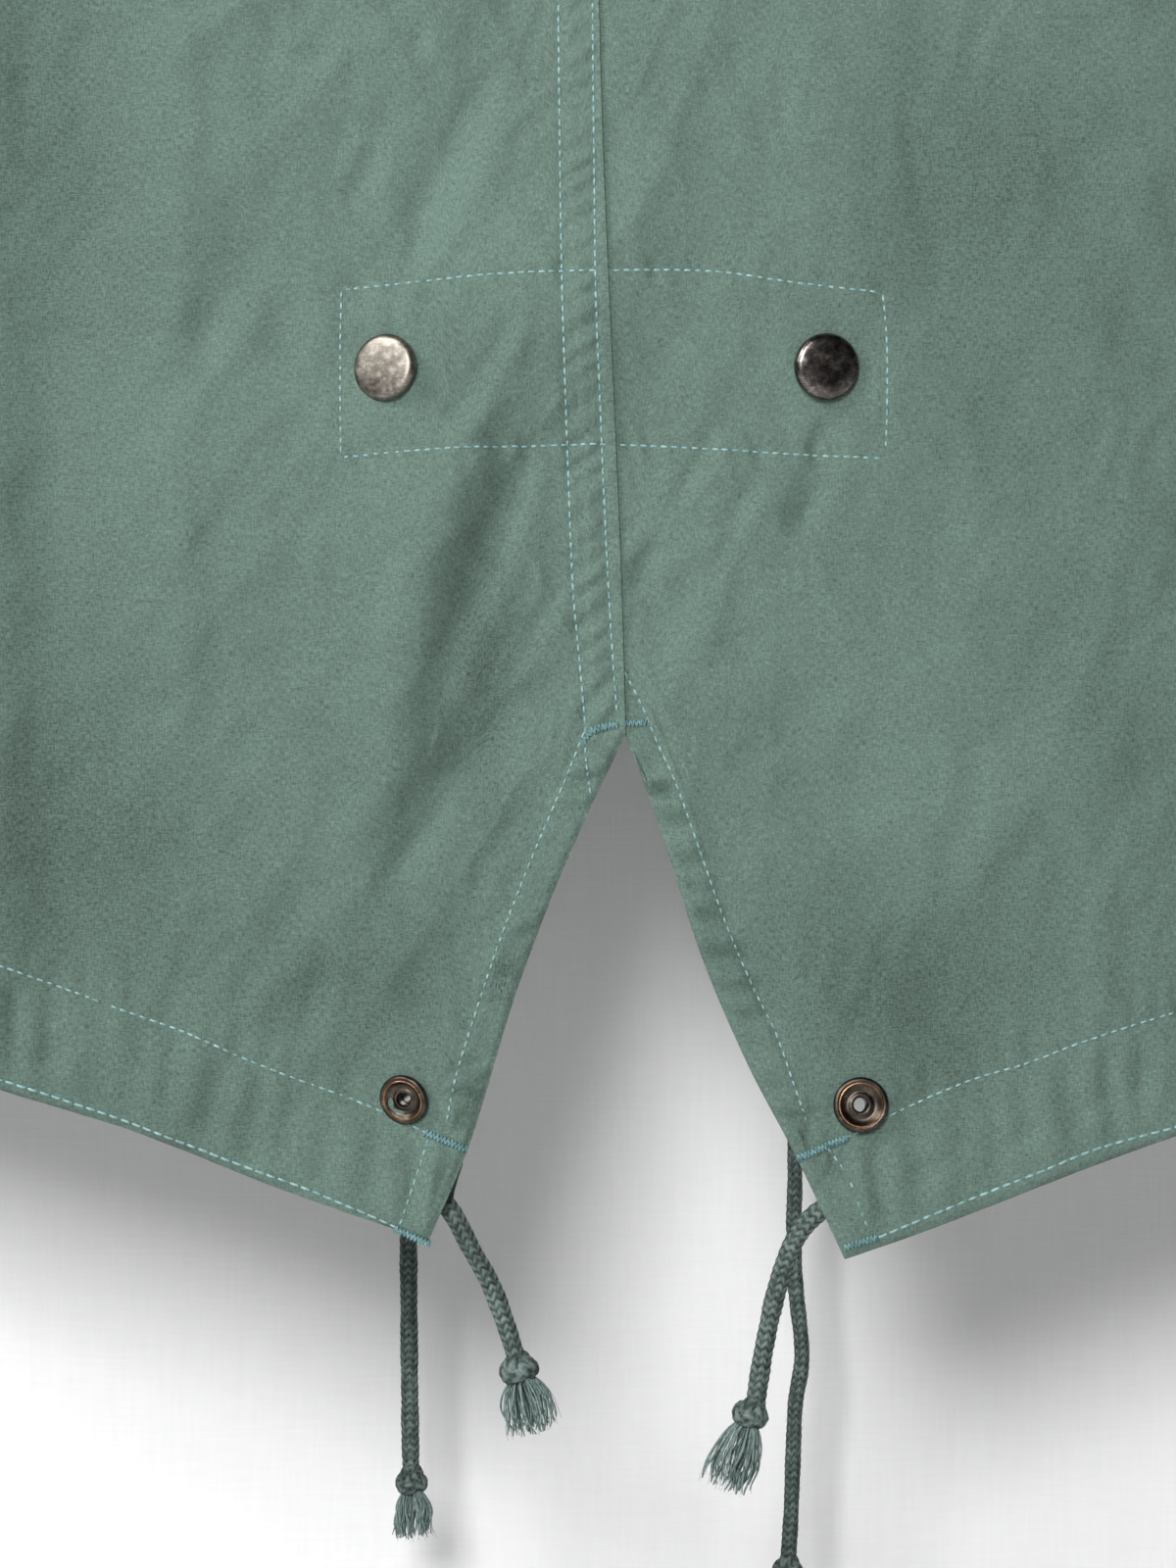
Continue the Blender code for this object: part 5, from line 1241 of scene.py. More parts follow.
def back_columns(side):
    """Shares of the way to the side, and heights of the hem, of a back's columns."""
    edge = EDGES[side]
    start = edge[0].out
    near = np.arange(start, start + FINE_REACH, FINE_STEP)
    outs = np.concatenate([near, np.arange(near[-1] + PHOTO_STEP, PHOTO_REACH, PHOTO_STEP)])
    bottoms = edge_height(edge, outs)
    seam = seam_at(bottoms)
    half = along(BODY, "height", "half_width", bottoms)
    shares = (outs - side * seam) / (half - side * seam)
    steps = np.arange(1, SIDE_STEPS + 1) / SIDE_STEPS
    sides = shares[-1] + (1.0 - shares[-1]) * np.sin(math.pi / 2 * steps)
    side_half = along(BODY, "height", "half_width", np.array([edge[-1].height]))[0]
    shares = np.concatenate([shares, sides])
    bottoms = np.concatenate([bottoms, edge_height(edge, sides * side_half)])
    if side > 0:
        shares = np.concatenate([UNDER_LAP, shares])
        bottoms = np.concatenate([np.full(2, bottoms[0] + 0.0004), bottoms])
    return shares, bottoms


def punched(grid, side):
    """Cells of a back panel that stay, round the hole through its tail's snap."""
    snap = TAIL_EYELETS[side > 0]
    middle = (grid[:-1, :-1] + grid[1:, 1:]) / 2.0
    return np.hypot(middle[..., 0] - snap.x, middle[..., 2] - snap.z) > HOLE_CUT


def cloth_coordinates(grid):
    return grid[..., 0] * 1.04, run_along(grid, 0) + grid[:1, :, 2]


def back_panel(side):
    """A back with its outside's grid and normals."""
    name = f"back_{SIDE[side]}"
    grid = body_grid(side, *back_columns(side), FINE_TOP, FINE_ROWS, front=False)
    normals = grid_normals(grid, BACKWARDS)
    # near the hem the layer's thickness runs straight back, so that its edges stay clean
    turn = np.maximum(smooth((np.abs(grid[..., 0]) - 0.16) / 0.06), smooth((grid[..., 2] - FINE_TOP) / 0.1))
    through = unit(normals * np.stack([turn, np.ones(turn.shape), turn], axis=-1))
    # the back's cloth carries painted shade and light from its fold zones
    piece = shell(f"{name}_cloth", grid, grid - CLOTH * through, cloth_coordinates(grid),
                  keep=punched(grid, side), painted_shading=True)
    covered = [name, "back_seam_lap"] if side < 0 else [name]
    return finish_piece(piece, name, COTTON, covered), grid, normals


def front_hem(shares):
    return FRONT_HEM_CENTRE + (FRONT_HEM_SIDE - FRONT_HEM_CENTRE) * shares ** 2


def front_panel(side):
    """A front with its outside's grid and normals."""
    name = f"front_{SIDE[side]}"
    sides = 0.55 + 0.45 * np.sin(math.pi / 2 * np.arange(1, 23) / 22)
    shares = np.concatenate([np.linspace(0.0, 0.55, 42), sides])
    grid = body_grid(side, shares, front_hem(shares), FRONT_FINE_TOP, FRONT_FINE_ROWS, front=True)
    normals = grid_normals(grid, FORWARDS)
    piece = shell(f"{name}_cloth", grid, grid - CLOTH * normals, cloth_coordinates(grid))
    return stands_for(piece, name, COTTON), grid, normals


# ================================================================ hem tunnels
TUNNEL_ROWS = 14
TUNNEL_SHARES = np.linspace(0.0, 1.0, TUNNEL_ROWS)       # of the tunnel's height
MOUTH_COLUMNS = 13


def tunnel(name, side, x, z, front):
    """Inner layer of a hem, which stands off the panel where its cord runs."""
    skin = body_at(side, x, z, front)
    normals = grid_normals(skin, FORWARDS if front else BACKWARDS)
    low = smooth(TUNNEL_SHARES / CORD_LEVEL)
    high = smooth((1.0 - TUNNEL_SHARES) / (1.0 - CORD_LEVEL))
    puff = np.where(TUNNEL_SHARES < CORD_LEVEL, low, high)[:, None, None] * TUNNEL_BULGE
    base = skin - normals * (SOLID_WALL + STRIP_LIFT + puff)
    return stands_for(shell(f"{name}_cloth", base, base - normals * CLOTH, (x, z)), name, COTTON)


def back_tunnel(side):
    """A tail's tunnel, open along the notch where the drawcord comes out."""
    t = TUNNEL_SHARES
    edge = EDGES[side]
    tip, mouth = edge[TIP], edge[MOUTH]
    regular = np.concatenate([np.linspace(edge[TIP + 1].out, 0.138, 34), np.linspace(0.144, 0.282, 26)])
    outs = np.tile(regular, (TUNNEL_ROWS, 1))
    heights = edge_height(edge, regular)[None] + t[:, None] * HEM_HEIGHT[side]
    mouth_out = tip.out + (mouth.out - tip.out) * t - MOUTH_PEEK[side] * np.sin(math.pi * t)
    mouth_height = tip.height + (mouth.height - tip.height) * t
    blend = np.linspace(0.0, 1.0, MOUTH_COLUMNS + 1)[:-1]
    near_outs = mouth_out[:, None] * (1 - blend) + outs[:, :1] * blend
    near_heights = mouth_height[:, None] * (1 - blend) + heights[:, :1] * blend
    x = side * np.concatenate([near_outs, outs], axis=1)
    z = np.concatenate([near_heights, heights], axis=1)
    return tunnel(f"back_tunnel_{SIDE[side]}", side, x, z, front=False)


def front_tunnel(side):
    shares = np.concatenate([np.linspace(FRONT_MOUTH_SHARE, 0.6, 40), 0.6 + 0.39 * np.arange(1, 21) / 20])
    z = front_hem(shares)[None] + TUNNEL_SHARES[:, None] * FRONT_HEM_HEIGHT
    x = side * shares[None] * along(BODY, "height", "half_width", z)
    return tunnel(f"front_tunnel_{SIDE[side]}", side, x, z, front=True)


# ================================================================ patch and fly
PATCH_HALF_WIDTH = 0.0605
PATCH_LOW = -0.9475
PATCH_HIGH = -0.9095
PATCH_LIMIT_Y = -0.0540      # the patch follows the coat's creases no further out than this


def snap_patch():
    """Second layer inside the back, behind both snaps."""
    x, z = np.meshgrid(np.linspace(-PATCH_HALF_WIDTH, PATCH_HALF_WIDTH, 64),
                       np.linspace(PATCH_LOW, PATCH_HIGH, 22))
    seam = seam_at(z)
    left = body_at(-1, np.minimum(x, seam), z)
    right = body_at(1, np.maximum(x, seam), z)
    skin = np.where((x < seam)[..., None], left, right)
    skin[..., 0] = x
    skin[..., 1] = np.maximum(skin[..., 1], PATCH_LIMIT_Y)
    base = skin + (SOLID_WALL + STRIP_LIFT) * FORWARDS
    piece = shell("snap_patch_cloth", base, base + CLOTH * FORWARDS, (x, z))
    return stands_for(piece, "snap_patch", COTTON)


def front_fly():
    """Flap over the centre front: the piece, a stitch row near each long side, and its outside."""
    across = np.linspace(-1.0, 1.0, 27)
    down = np.linspace(0.0, 1.0, 150)
    hem = front_hem(FLY_SHARE * across)
    neck = shoulder_line(np.abs(across) * FLY_SHARE, NECK_DIP_FRONT)
    z = hem[None] + (neck - hem)[None] * down[:, None]
    arm = arm_share(z, neck[None])
    x = across[None] * FLY_SHARE * half_width_at(z, arm)
    share = np.abs(across[None]) * FLY_SHARE + np.zeros(z.shape)
    skin = on_surface(1, share, x, z, arm, np.tile(neck, (len(down), 1)), True)
    normals = grid_normals(skin, FORWARDS)
    edge = 1.0 - 0.6 * np.exp(-((1.0 - np.abs(across)) / 0.05) ** 2)
    sewn = -0.00022 * np.exp(-((np.abs(across) - 0.86) / 0.03) ** 2)
    near_sides = np.exp(-((np.abs(across) - 0.90) / 0.12) ** 2)
    ripple = 0.0003 * np.sin(z * 520.0 + 2.0 * np.sin(z * 90.0)) * near_sides
    lift = (STRIP_LIFT + 0.0007 * edge + sewn)[None] + ripple
    outer = skin + normals * (lift + CLOTH)[..., None]
    piece = shell("front_fly_cloth", outer, outer - normals * CLOTH, (x, z))
    rows = [sewn_line(outer[:, column], normals[:, column], GARMENT_STITCH) for column in (2, 24)]
    return stands_for(piece, "front_fly", COTTON), rows, outer


# ================================================================ sleeves
SLEEVE_RING_LENGTH = 58.0    # mm between two rings, for the creases
ARMHOLE_ROW = 2              # of the sleeve's grid, with the stitches next to the armhole


def sleeve(side):
    """A sleeve and its stitch rows."""
    rows = np.linspace(0.0, 10.0, SLEEVE_ROWS)
    angles = 2.0 * math.pi * np.arange(SLEEVE_COLUMNS) / SLEEVE_COLUMNS
    ring = {column: along(SLEEVE, "number", column, rows)[:, None] for column in Ring._fields[1:]}
    rows = rows[:, None]
    swell = np.zeros((SLEEVE_ROWS, SLEEVE_COLUMNS))
    for wrinkle in SLEEVE_WRINKLES + SLEEVE_CREASES:
        turn = (-side * np.degrees(angles)[None] - wrinkle.angle + 180.0) % 360.0 - 180.0
        off = rows - wrinkle.ring - wrinkle.lean * turn
        near = (off / wrinkle.reach_rings) ** 2 + (turn / wrinkle.reach_angle) ** 2
        swell += wrinkle.height * np.exp(-near)
    swell *= np.minimum(rows / 2.0, 1.0)
    # the creases of one full turn run over into those of the next, so that they meet
    round_trip = np.degrees(angles)[None]
    blend = smooth((round_trip - 290.0) / 70.0)
    down = rows * SLEEVE_RING_LENGTH
    for turned_by, share in ((0.0, 1.0 - blend), (-360.0, blend)):
        around = (round_trip + turned_by) * 1.1
        creased = rumple(down, around, 4.0 + side) * 0.6 + crumples(down, around, 60 + side, -35.0, 0.55)
        swell += creased * share * MM * np.minimum(rows, 1.0)
    for row in CUFF_ROWS:
        swell -= 0.0003 * np.exp(-((rows - row) / 0.03) ** 2)
    half_x = (ring["outer_x"] - ring["inner_x"]) / 2.0
    half_z = (ring["outer_z"] - ring["inner_z"]) / 2.0
    long = 1.0 + swell / np.hypot(half_x, half_z)
    x = (ring["outer_x"] + ring["inner_x"]) / 2.0 + half_x * np.cos(angles) * long
    z = (ring["outer_z"] + ring["inner_z"]) / 2.0 + half_z * np.cos(angles) * long
    y = (ring["half_depth"] + swell) * np.sin(angles)
    grid = np.stack([side * x, y, z], axis=-1)
    normals = grid_normals(grid, BACKWARDS, closed=True)
    if (normals * (grid - grid.mean(axis=1, keepdims=True))).sum() < 0:
        normals = -normals
    name = f"sleeve_{SIDE[side]}"
    cloth = (run_along(grid, 1), run_along(grid, 0))
    piece = shell(f"{name}_cloth", grid, grid - CLOTH * normals, cloth, closed=True)
    lines = []
    for index in [int(round(row / 10.0 * (SLEEVE_ROWS - 1))) for row in CUFF_ROWS] + [ARMHOLE_ROW]:
        loop, outs = (np.concatenate([values[index], values[index, :1]]) for values in (grid, normals))
        lines.append(sewn_line(loop, outs, GARMENT_STITCH))
    return stands_for(piece, name, COTTON), lines


# ================================================================ hood
HOOD_CREASES = table(Crease,
    (((18, 200), (48, 300), (30, 420)), 13.0, 1.6, -1.0),
    (((70, 140), (92, 240), (84, 330)), 11.0, -1.4, -1.0),
    (((30, 90), (60, 130), (100, 150)), 8.0, 1.2, -1.0),
    (((8, 330), (40, 380), (60, 460)), 9.0, -1.2, -0.8),
)
FACE_ROW = RIB_POINTS - 5    # of the hood's grid, with the stitches along the face
SEAM_COLUMN = 3              # with those beside the hood's centre seam


def hood_grid(side):
    """Points of half the hood, from the neck seam over its roll and round the pouch."""
    angles = np.linspace(0.0, 180.0, HOOD_RIBS)
    rib = {column: along(HOOD, "angle", column, angles) for column in HoodRib._fields[1:]}
    turn = np.radians(angles)
    back = np.cos(turn) > 0.0
    depth = np.where(back, NECK_BACK, NECK_FRONT)
    dip = np.where(back, NECK_DIP_BACK, NECK_DIP_FRONT)
    x = NECK_HALF_WIDTH * np.sin(turn)
    y = -depth * np.cos(turn)
    z = NECK_HEIGHT - dip * np.cos(turn) ** 2 + HOOD_LIFT
    out = unit(np.stack([x / NECK_HALF_WIDTH ** 2, y / depth ** 2], axis=-1))
    clear = (0.0, HOOD_CLEARANCE, HOOD_CLEARANCE + rib["spread"] * 0.5, HOOD_CLEARANCE + rib["spread"])
    rows = []
    for step in RIB_STEPS:
        reach = step.reach + step.roll * rib["roll"] + step.spread * rib["spread"]
        lift = (step.lift + step.rise * rib["rise"] - step.drop * rib["drop"]
                + step.come_back * rib["come_back"])
        point_x = x + out[:, 0] * reach
        point_y = y + out[:, 1] * reach
        point_z = z + lift
        if step.layer:
            fan = HOOD_FAN * smooth((z + rib["rise"] - point_z) / HOOD_FAN_DEPTH)
            fanned = point_x * (1.0 + fan)
            top = shoulder_line(np.minimum(fanned / UNDERARM_X, BACKED_SHARE), NECK_DIP_BACK)
            arm = arm_share(point_z, top)
            half = UNDERARM_X + (SHOULDER_X - UNDERARM_X) * arm
            share = np.minimum(fanned / half, BACKED_SHARE)
            skin = body_depth(side, share, side * fanned, point_z, arm, top, False)
            pushed = np.minimum(point_y, -skin - clear[step.layer])
            point_y = np.where(back & (point_z < top), pushed, point_y)
            point_x = np.where(back, fanned, point_x)
        rows.append(np.stack([side * np.maximum(point_x, LEAST_DEPTH), point_y, point_z], axis=-1))
    coarse = np.array(rows)
    fine = np.stack([smooth_rib(coarse[:, k]) for k in range(HOOD_RIBS)], axis=1)
    last = int((angles < HOOD_RELAX_END).sum())
    start = RIB_POINTS // 4
    for _ in range(HOOD_RELAX):
        beside = (fine[start:, :last - 1] + fine[start:, 2:last + 1]) / 2.0
        fine[start:, 1:last] = (fine[start:, 1:last] + beside) / 2.0
    return fine


def smooth_rib(points):
    route = smooth_route(points, 0.001)
    at = np.linspace(0, len(route) - 1, RIB_POINTS)
    return np.stack([np.interp(at, np.arange(len(route)), route[:, k]) for k in range(3)], axis=1)


def hood_half(side):
    """Half the hood and its stitch rows."""
    name = f"hood_{SIDE[side]}"
    grid = hood_grid(side)
    normals = grid_normals(grid, BACKWARDS)
    if normals[0, 0, 1] > 0:
        normals = -normals
    run = run_along(grid, 0) / MM
    across = run_along(grid, 1) / MM
    relief = rumple(across, run, 5.0 + side) * 0.9 + crumples(across, run, 43 + side, 0.0, 0.5)
    add_creases(relief, across, run, HOOD_CREASES)
    fade = smooth(run / 12.0) * smooth(across / 5.0)
    grid = grid + normals * (relief * fade * MM)[..., None]
    grid[FACE_ROW] -= normals[FACE_ROW] * 0.0003
    piece = shell(f"{name}_cloth", grid, grid - CLOTH * normals, (across * MM, run * MM))
    lines = [sewn_line(grid[FACE_ROW], normals[FACE_ROW], GARMENT_STITCH),
             sewn_line(grid[:, SEAM_COLUMN], normals[:, SEAM_COLUMN], GARMENT_STITCH)]
    return stands_for(piece, name, COTTON), lines


def panel_stitches(front_grid, front_normals, back_grid, back_normals):
    """Rows below the shoulder seam, along the front hem and beside the side seam."""
    neck = int(np.argmin(np.abs(np.abs(back_grid[-1, :, 0]) - NECK_HALF_WIDTH)))
    lines = [sewn_line(back_grid[-4, neck:-1], back_normals[-4, neck:-1], GARMENT_STITCH)]
    for row in (2, 10):
        lines.append(sewn_line(front_grid[row], front_normals[row], GARMENT_STITCH))
    lines.append(sewn_line(front_grid[:-3, -4], front_normals[:-3, -4], GARMENT_STITCH))
    return lines


# ================================================================ snaps
def turned(name, profile, seat, axis, sides=56, ring=False):
    """Round piece from (radius, height) rows along an axis."""
    turn = np.array(Vector(axis).to_track_quat("Z", "Y").to_matrix())
    angles = 2.0 * math.pi * np.arange(sides) / sides
    radii = np.array([row[0] for row in profile])[:, None]
    heights = np.array([row[1] for row in profile])[:, None]
    local = np.stack([radii * np.cos(angles), radii * np.sin(angles), heights + 0.0 * angles], axis=-1)
    points = np.array(seat) + local.reshape(-1, 3) @ turn.T
    faces = [cell_faces(len(profile), sides, True)]
    if ring:
        last = (len(profile) - 1) * sides
        here = np.arange(sides)
        after = (here + 1) % sides
        faces.append(np.stack([last + here, last + after, after, here], axis=-1))
    piece = mesh_piece(name, points, np.concatenate(faces), sharp=40)
    clean(piece, merge=1e-7)
    return piece


def rounded(profile, step):
    """A profile with its corners eased by a smooth curve through its points."""
    return [(max(r, 0.0), h) for r, h in smooth_route(profile, step)]


def cap_profile(radius, step=0.0004):
    return rounded([(0.0, 0.0), (radius * 0.90, 0.0), (radius, 0.0005), (radius * 0.995, 0.0013),
                    (radius * 0.93, 0.0020), (radius * 0.80, 0.00235), (radius * 0.50, 0.0026),
                    (0.0, 0.0027)], step)


def eyelet_rows(radius):
    """Rim, dished face and barrel of a tail's eyelet."""
    return rounded([(HOLE_RADIUS, -0.0016), (HOLE_RADIUS, 0.0004), (radius * 0.36, 0.0008),
                    (radius * 0.50, 0.00045), (radius * 0.64, 0.0007), (radius * 0.76, 0.0013),
                    (radius * 0.90, 0.0016), (radius, 0.0011), (radius * 0.985, 0.0002),
                    (radius * 0.80, -0.0001), (radius * 0.45, -0.0002),
                    (HOLE_RADIUS * 1.25, -0.0016)], 0.0003)


SOCKET_PROFILE = ((0.0019, 0.0), (0.0062, 0.0), (0.0062, 0.0012), (0.0047, 0.0025), (0.0029, 0.0025),
                  (0.0019, 0.0013))
STUD_PROFILE = ((HOLE_RADIUS * 1.05, 0.0), (0.0042, 0.0), (0.0042, 0.0006), (0.0027, 0.0010),
                (0.0025, 0.0030), (HOLE_RADIUS * 1.05, 0.0033))
STUD_GAP = 0.0009        # between the cloth's inside and the stud
FLY_CAP_RADIUS = 0.0075


def seat(snap):
    """Where a snap sits on the back and which way it faces."""
    right = math.radians(snap.turn_right)
    up = math.radians(snap.turn_up)
    axis = Vector((math.sin(right), -math.cos(right) * math.cos(up), math.sin(up))).normalized()
    place = body_at(-1 if snap.x < 0 else 1, np.array([snap.x]), np.array([snap.z]))[0]
    return place + np.array(axis) * CAP_SEAT, axis


def snaps():
    for snap in PATCH_CAPS:
        cap = turned(snap.node + "_dome", cap_profile(snap.radius), *seat(snap))
        # the right cap's pewter is darker by painted shade
        stands_for(cap, snap.node, PEWTER if snap.x < 0.0 else SHADED_PEWTER)
        name = snap.node.replace("cap", "socket")
        low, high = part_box(name)
        back = Vector(((low[0] + high[0]) / 2, low[1], (low[2] + high[2]) / 2))
        socket = turned(name + "_ring", rounded(SOCKET_PROFILE, 0.0003), back, FORWARDS, 40, ring=True)
        stands_for(socket, name, BRONZE)
    for snap in TAIL_EYELETS:
        place, axis = seat(snap)
        eyelet = turned(snap.node + "_dish", eyelet_rows(snap.radius), place, axis, ring=True)
        stands_for(eyelet, snap.node, BRONZE)
        line = rounded([(snap.radius * 0.755, 0.00145), (snap.radius * 0.79, 0.0017),
                        (snap.radius * 0.825, 0.00155)], 0.0001)
        rim = turned(snap.node + "_worn_line", line, place, axis, ring=True)
        finish_piece(rim, snap.node, COPPER)
        back = place - np.array(axis) * (SOLID_WALL + STUD_GAP)
        name = snap.node.replace("eyelet", "stud")
        stud = turned(name + "_post", rounded(STUD_PROFILE, 0.0003), back, -axis, 40, ring=True)
        stands_for(stud, name, BRONZE)


def fly_caps(fly_surface):
    for number in range(1, 6):
        name = f"fly_cap_{number}"
        low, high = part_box(name)
        x, z = (low[0] + high[0]) / 2, (low[2] + high[2]) / 2
        away = np.hypot(fly_surface[..., 0] - x, fly_surface[..., 2] - z)
        place = fly_surface.reshape(-1, 3)[int(np.argmin(away))]
        cap = turned(name + "_dome", cap_profile(FLY_CAP_RADIUS, 0.0008), place, (0.0, 1.0, 0.02), 32)
        stands_for(cap, name, PEWTER)


# ================================================================ drawcords
def frames_along(points):
    """Two directions across a line at each of its points, that don't twist."""
    ahead = unit(np.gradient(points, axis=0))
    first = np.cross(ahead[0], np.array([0.0, 1.0, 0.0]))
    if np.linalg.norm(first) < 0.2:
        first = np.cross(ahead[0], np.array([1.0, 0.0, 0.0]))
    across = [unit(first)]
    for direction in ahead[1:]:
        moved = across[-1] - np.dot(across[-1], direction) * direction
        across.append(unit(moved))
    across = np.array(across)
    return across, np.cross(ahead, across)


def tube_points(points, radii, sides):
    """Rings of points round a line; radii holds one radius for each ring and side."""
    across, other = frames_along(points)
    angles = 2.0 * math.pi * np.arange(sides) / sides
    spokes = (across[:, None] * np.cos(angles)[None, :, None]
              + other[:, None] * np.sin(angles)[None, :, None])
    return points[:, None] + spokes * radii[..., None]


def tube_faces(count, sides, first):
    """Faces of a closed tube, whose points are numbered from first."""
    faces = [tuple(face) for face in cell_faces(count, sides, True, first)]
    faces.append(tuple(first + np.arange(sides)[::-1]))
    faces.append(tuple(first + (count - 1) * sides + np.arange(sides)))
    return faces


def chevrons(count, step, radius, sides, columns, phase=0.0):
    """Radii of a braided tube, whose plaits meet in rows of chevrons, and how high each point stands."""
    run = np.arange(count)[:, None] * step
    around = (np.arange(sides)[None] + 0.5) / sides * columns
    saw = np.abs(2.0 * (around % 1.0) - 1.0)
    plait = np.abs(np.sin(math.pi * (run / BRAID_PITCH - 0.62 * saw + phase))) ** 0.55
    plait = plait * (1.0 - 0.60 * smooth((saw - 0.72) / 0.28))
    uneven = 1.0 + 0.03 * np.sin(run * 310.0 + phase) + 0.02 * np.sin(run * 830.0)
    return radius * uneven * (0.83 + 0.21 * plait), plait


def tubes_mesh(name, lines, sides, sharp=None):
    """One mesh of many closed tubes; lines are (points, radii) with one radius a point."""
    points = []
    faces = []
    first = 0
    for line, radii in lines:
        points.append(tube_points(line, np.tile(radii[:, None], (1, sides)), sides).reshape(-1, 3))
        faces.extend(tube_faces(len(line), sides, first))
        first += len(line) * sides
    return mesh_piece(name, np.concatenate(points), faces, sharp)


def cord(row):
    """A braided cord with its knot, its tassel and its fuzz."""
    path = smooth_route(row.route, CORD_POINT_STEP)
    step = BRAID_STEP if row.length < 0.1 else 1.4 * BRAID_STEP
    end = np.array(row.route[-1])
    tucked = end + unit(end - np.array(row.route[-2])) * TUCK
    fine = smooth_route(tuple(row.route) + (tuple(tucked),), step)
    radii, plait = chevrons(len(fine), step, row.diameter / 2.0, BRAID_SIDES, BRAID_COLUMNS,
                            row.length * 100.0)
    rings = tube_points(fine, radii, BRAID_SIDES)
    faces = tube_faces(len(fine), BRAID_SIDES, 0)
    piece = mesh_piece(row.name + "_braid", rings.reshape(-1, 3), faces)
    # the plait heights also set the braid's painted shade in its gaps
    mark(piece, "plait", "FLOAT", "value", plait)
    stands_for(piece, row.name, BRAID)
    knotted = knot(row)
    frayed = tassel(row)
    fuzz = fuzzy(row, fine)
    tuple(row.route[0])


def knot_frame(row):
    """Centre of a cord's knot, and its axes: along the cord, across it and towards the viewer."""
    down = unit(np.array(row.lean))
    end = np.array(row.route[-1])
    tangent = unit(end - np.array(row.route[-2]))
    centre = end + tangent * KNOT_GAP + down * row.knot_height / 2.0
    forward = np.array([0.0, -1.0, 0.0])
    across = unit(np.cross(down, forward))
    return centre, down, across, np.cross(across, down)


def knot(row):
    """Overhand knot: three crossing bights of the same braid, drawn tight."""
    centre, down, across, forward = knot_frame(row)
    t = np.linspace(0.0, 2.0 * math.pi, 170)
    turn = t + 0.5
    wide = (np.sin(turn) + 2.0 * np.sin(2.0 * turn)) / 3.0
    tall = (np.cos(turn) - 2.0 * np.cos(2.0 * turn)) / 3.0
    near = -np.sin(3.0 * turn)
    bight = row.knot_width * 0.26
    line = (centre + np.outer(wide, across) * (row.knot_width / 2 - bight * 0.85)
            + np.outer(tall, down) * (row.knot_height / 2 - bight * 0.60)
            + np.outer(near, forward) * row.knot_width * 0.20)
    step = float(np.linalg.norm(np.diff(line, axis=0), axis=1).mean())
    radii, plait = chevrons(len(line), step, bight, KNOT_SIDES, 5, 1.0)
    rings = tube_points(line, radii, KNOT_SIDES)
    core = np.linspace(-0.5, 0.5, 9)
    core_line = centre + np.outer(core, down) * row.knot_height
    core_radii = row.knot_width * 0.25 * np.sqrt(1.0 - (core / 0.60) ** 2)
    core_rings = tube_points(core_line, np.tile(core_radii[:, None], (1, CORE_SIDES)), CORE_SIDES)
    faces = tube_faces(len(line), KNOT_SIDES, 0) + tube_faces(len(core), CORE_SIDES, len(line) * KNOT_SIDES)
    points = np.concatenate([rings.reshape(-1, 3), core_rings.reshape(-1, 3)])
    piece = mesh_piece(row.name.replace("cord", "knot"), points, faces)
    # the core inside the knot gets a middling painted shade
    plait = np.concatenate([plait.ravel(), np.full(len(core) * CORE_SIDES, 0.4)])
    mark(piece, "plait", "FLOAT", "value", plait)
    return finish_piece(piece, row.name, BRAID)


def tassel(row):
    """Frayed end: a full skirt of loose twisted yarns and finer fibres below the knot."""
    centre, down, across, forward = knot_frame(row)
    random = np.random.default_rng(int(row.length * 10000))
    start = centre + down * row.knot_height * 0.32
    fan = row.knot_width * 0.50 * row.spread
    lines = []
    for number in range(TASSEL_YARNS + TASSEL_FIBRES):
        fine = number >= TASSEL_YARNS
        angle = random.uniform(0.0, 2.0 * math.pi)
        out = math.sqrt(random.uniform(0.0, 1.0))
        side = math.cos(angle) * out
        front = math.sin(angle) * out
        root = start + across * side * row.knot_width * 0.22 + forward * front * row.knot_width * 0.18
        length = row.tassel_length * random.uniform(0.82, 1.02) * (1.05 if fine else 1.0)
        t = np.linspace(0.0, 1.0, 9 if fine else 12)
        belly = fan * (1.0 - np.exp(-3.2 * t)) * (1.0 - 0.26 * t ** 2) * random.uniform(0.86, 1.08)
        wave = (random.uniform(0.3, 1.0) * YARN_WAVE
                * np.sin(t * random.uniform(4.0, 9.0) + random.uniform(0.0, 6.3)) * t)
        sway = random.uniform(-0.5, 0.5) * YARN_SWAY * t ** 2
        line = (root + np.outer(t * length * (1.0 - 0.06 * out * t), down)
                + np.outer(side * belly + wave + sway, across)
                + np.outer(front * belly * 0.7 + wave * 0.7, forward))
        thick = 0.00006 if fine else random.uniform(0.00021, 0.00032)
        twist = 1.0 + (0.0 if fine else 0.20) * np.sin(t * 60.0 + number)
        lines.append((line, thick * twist * (1.0 - 0.45 * t ** 4)))
    name = row.name.replace("cord", "tassel")
    piece = tubes_mesh(name + "_yarns", lines, 5)
    return stands_for(piece, name, YARN)


def fuzzy(row, fine):
    """Short loose fibres that stand off a cord."""
    random = np.random.default_rng(int(row.length * 10000) + 7)
    across, other = frames_along(fine)
    lines = []
    count = int(row.length / FUZZ_SPACING)
    for _ in range(count):
        index = int(random.integers(4, len(fine) - 4))
        angle = random.uniform(0.0, 2.0 * math.pi)
        out = across[index] * math.cos(angle) + other[index] * math.sin(angle)
        ahead = unit(fine[index + 3] - fine[index - 3])
        lean = random.uniform(-1.4, 1.4)
        reach = random.uniform(0.0003, 0.0011)
        t = np.linspace(0.0, 1.0, 5)[:, None]
        root = fine[index] + out * row.diameter * 0.46
        line = root + out * reach * (t - 0.45 * t ** 2) + ahead * lean * reach * t ** 1.5
        lines.append((line, np.full(5, FUZZ_RADIUS)))
    piece = tubes_mesh(row.name.replace("cord", "fuzz"), lines, 3)
    return finish_piece(piece, row.name, YARN)


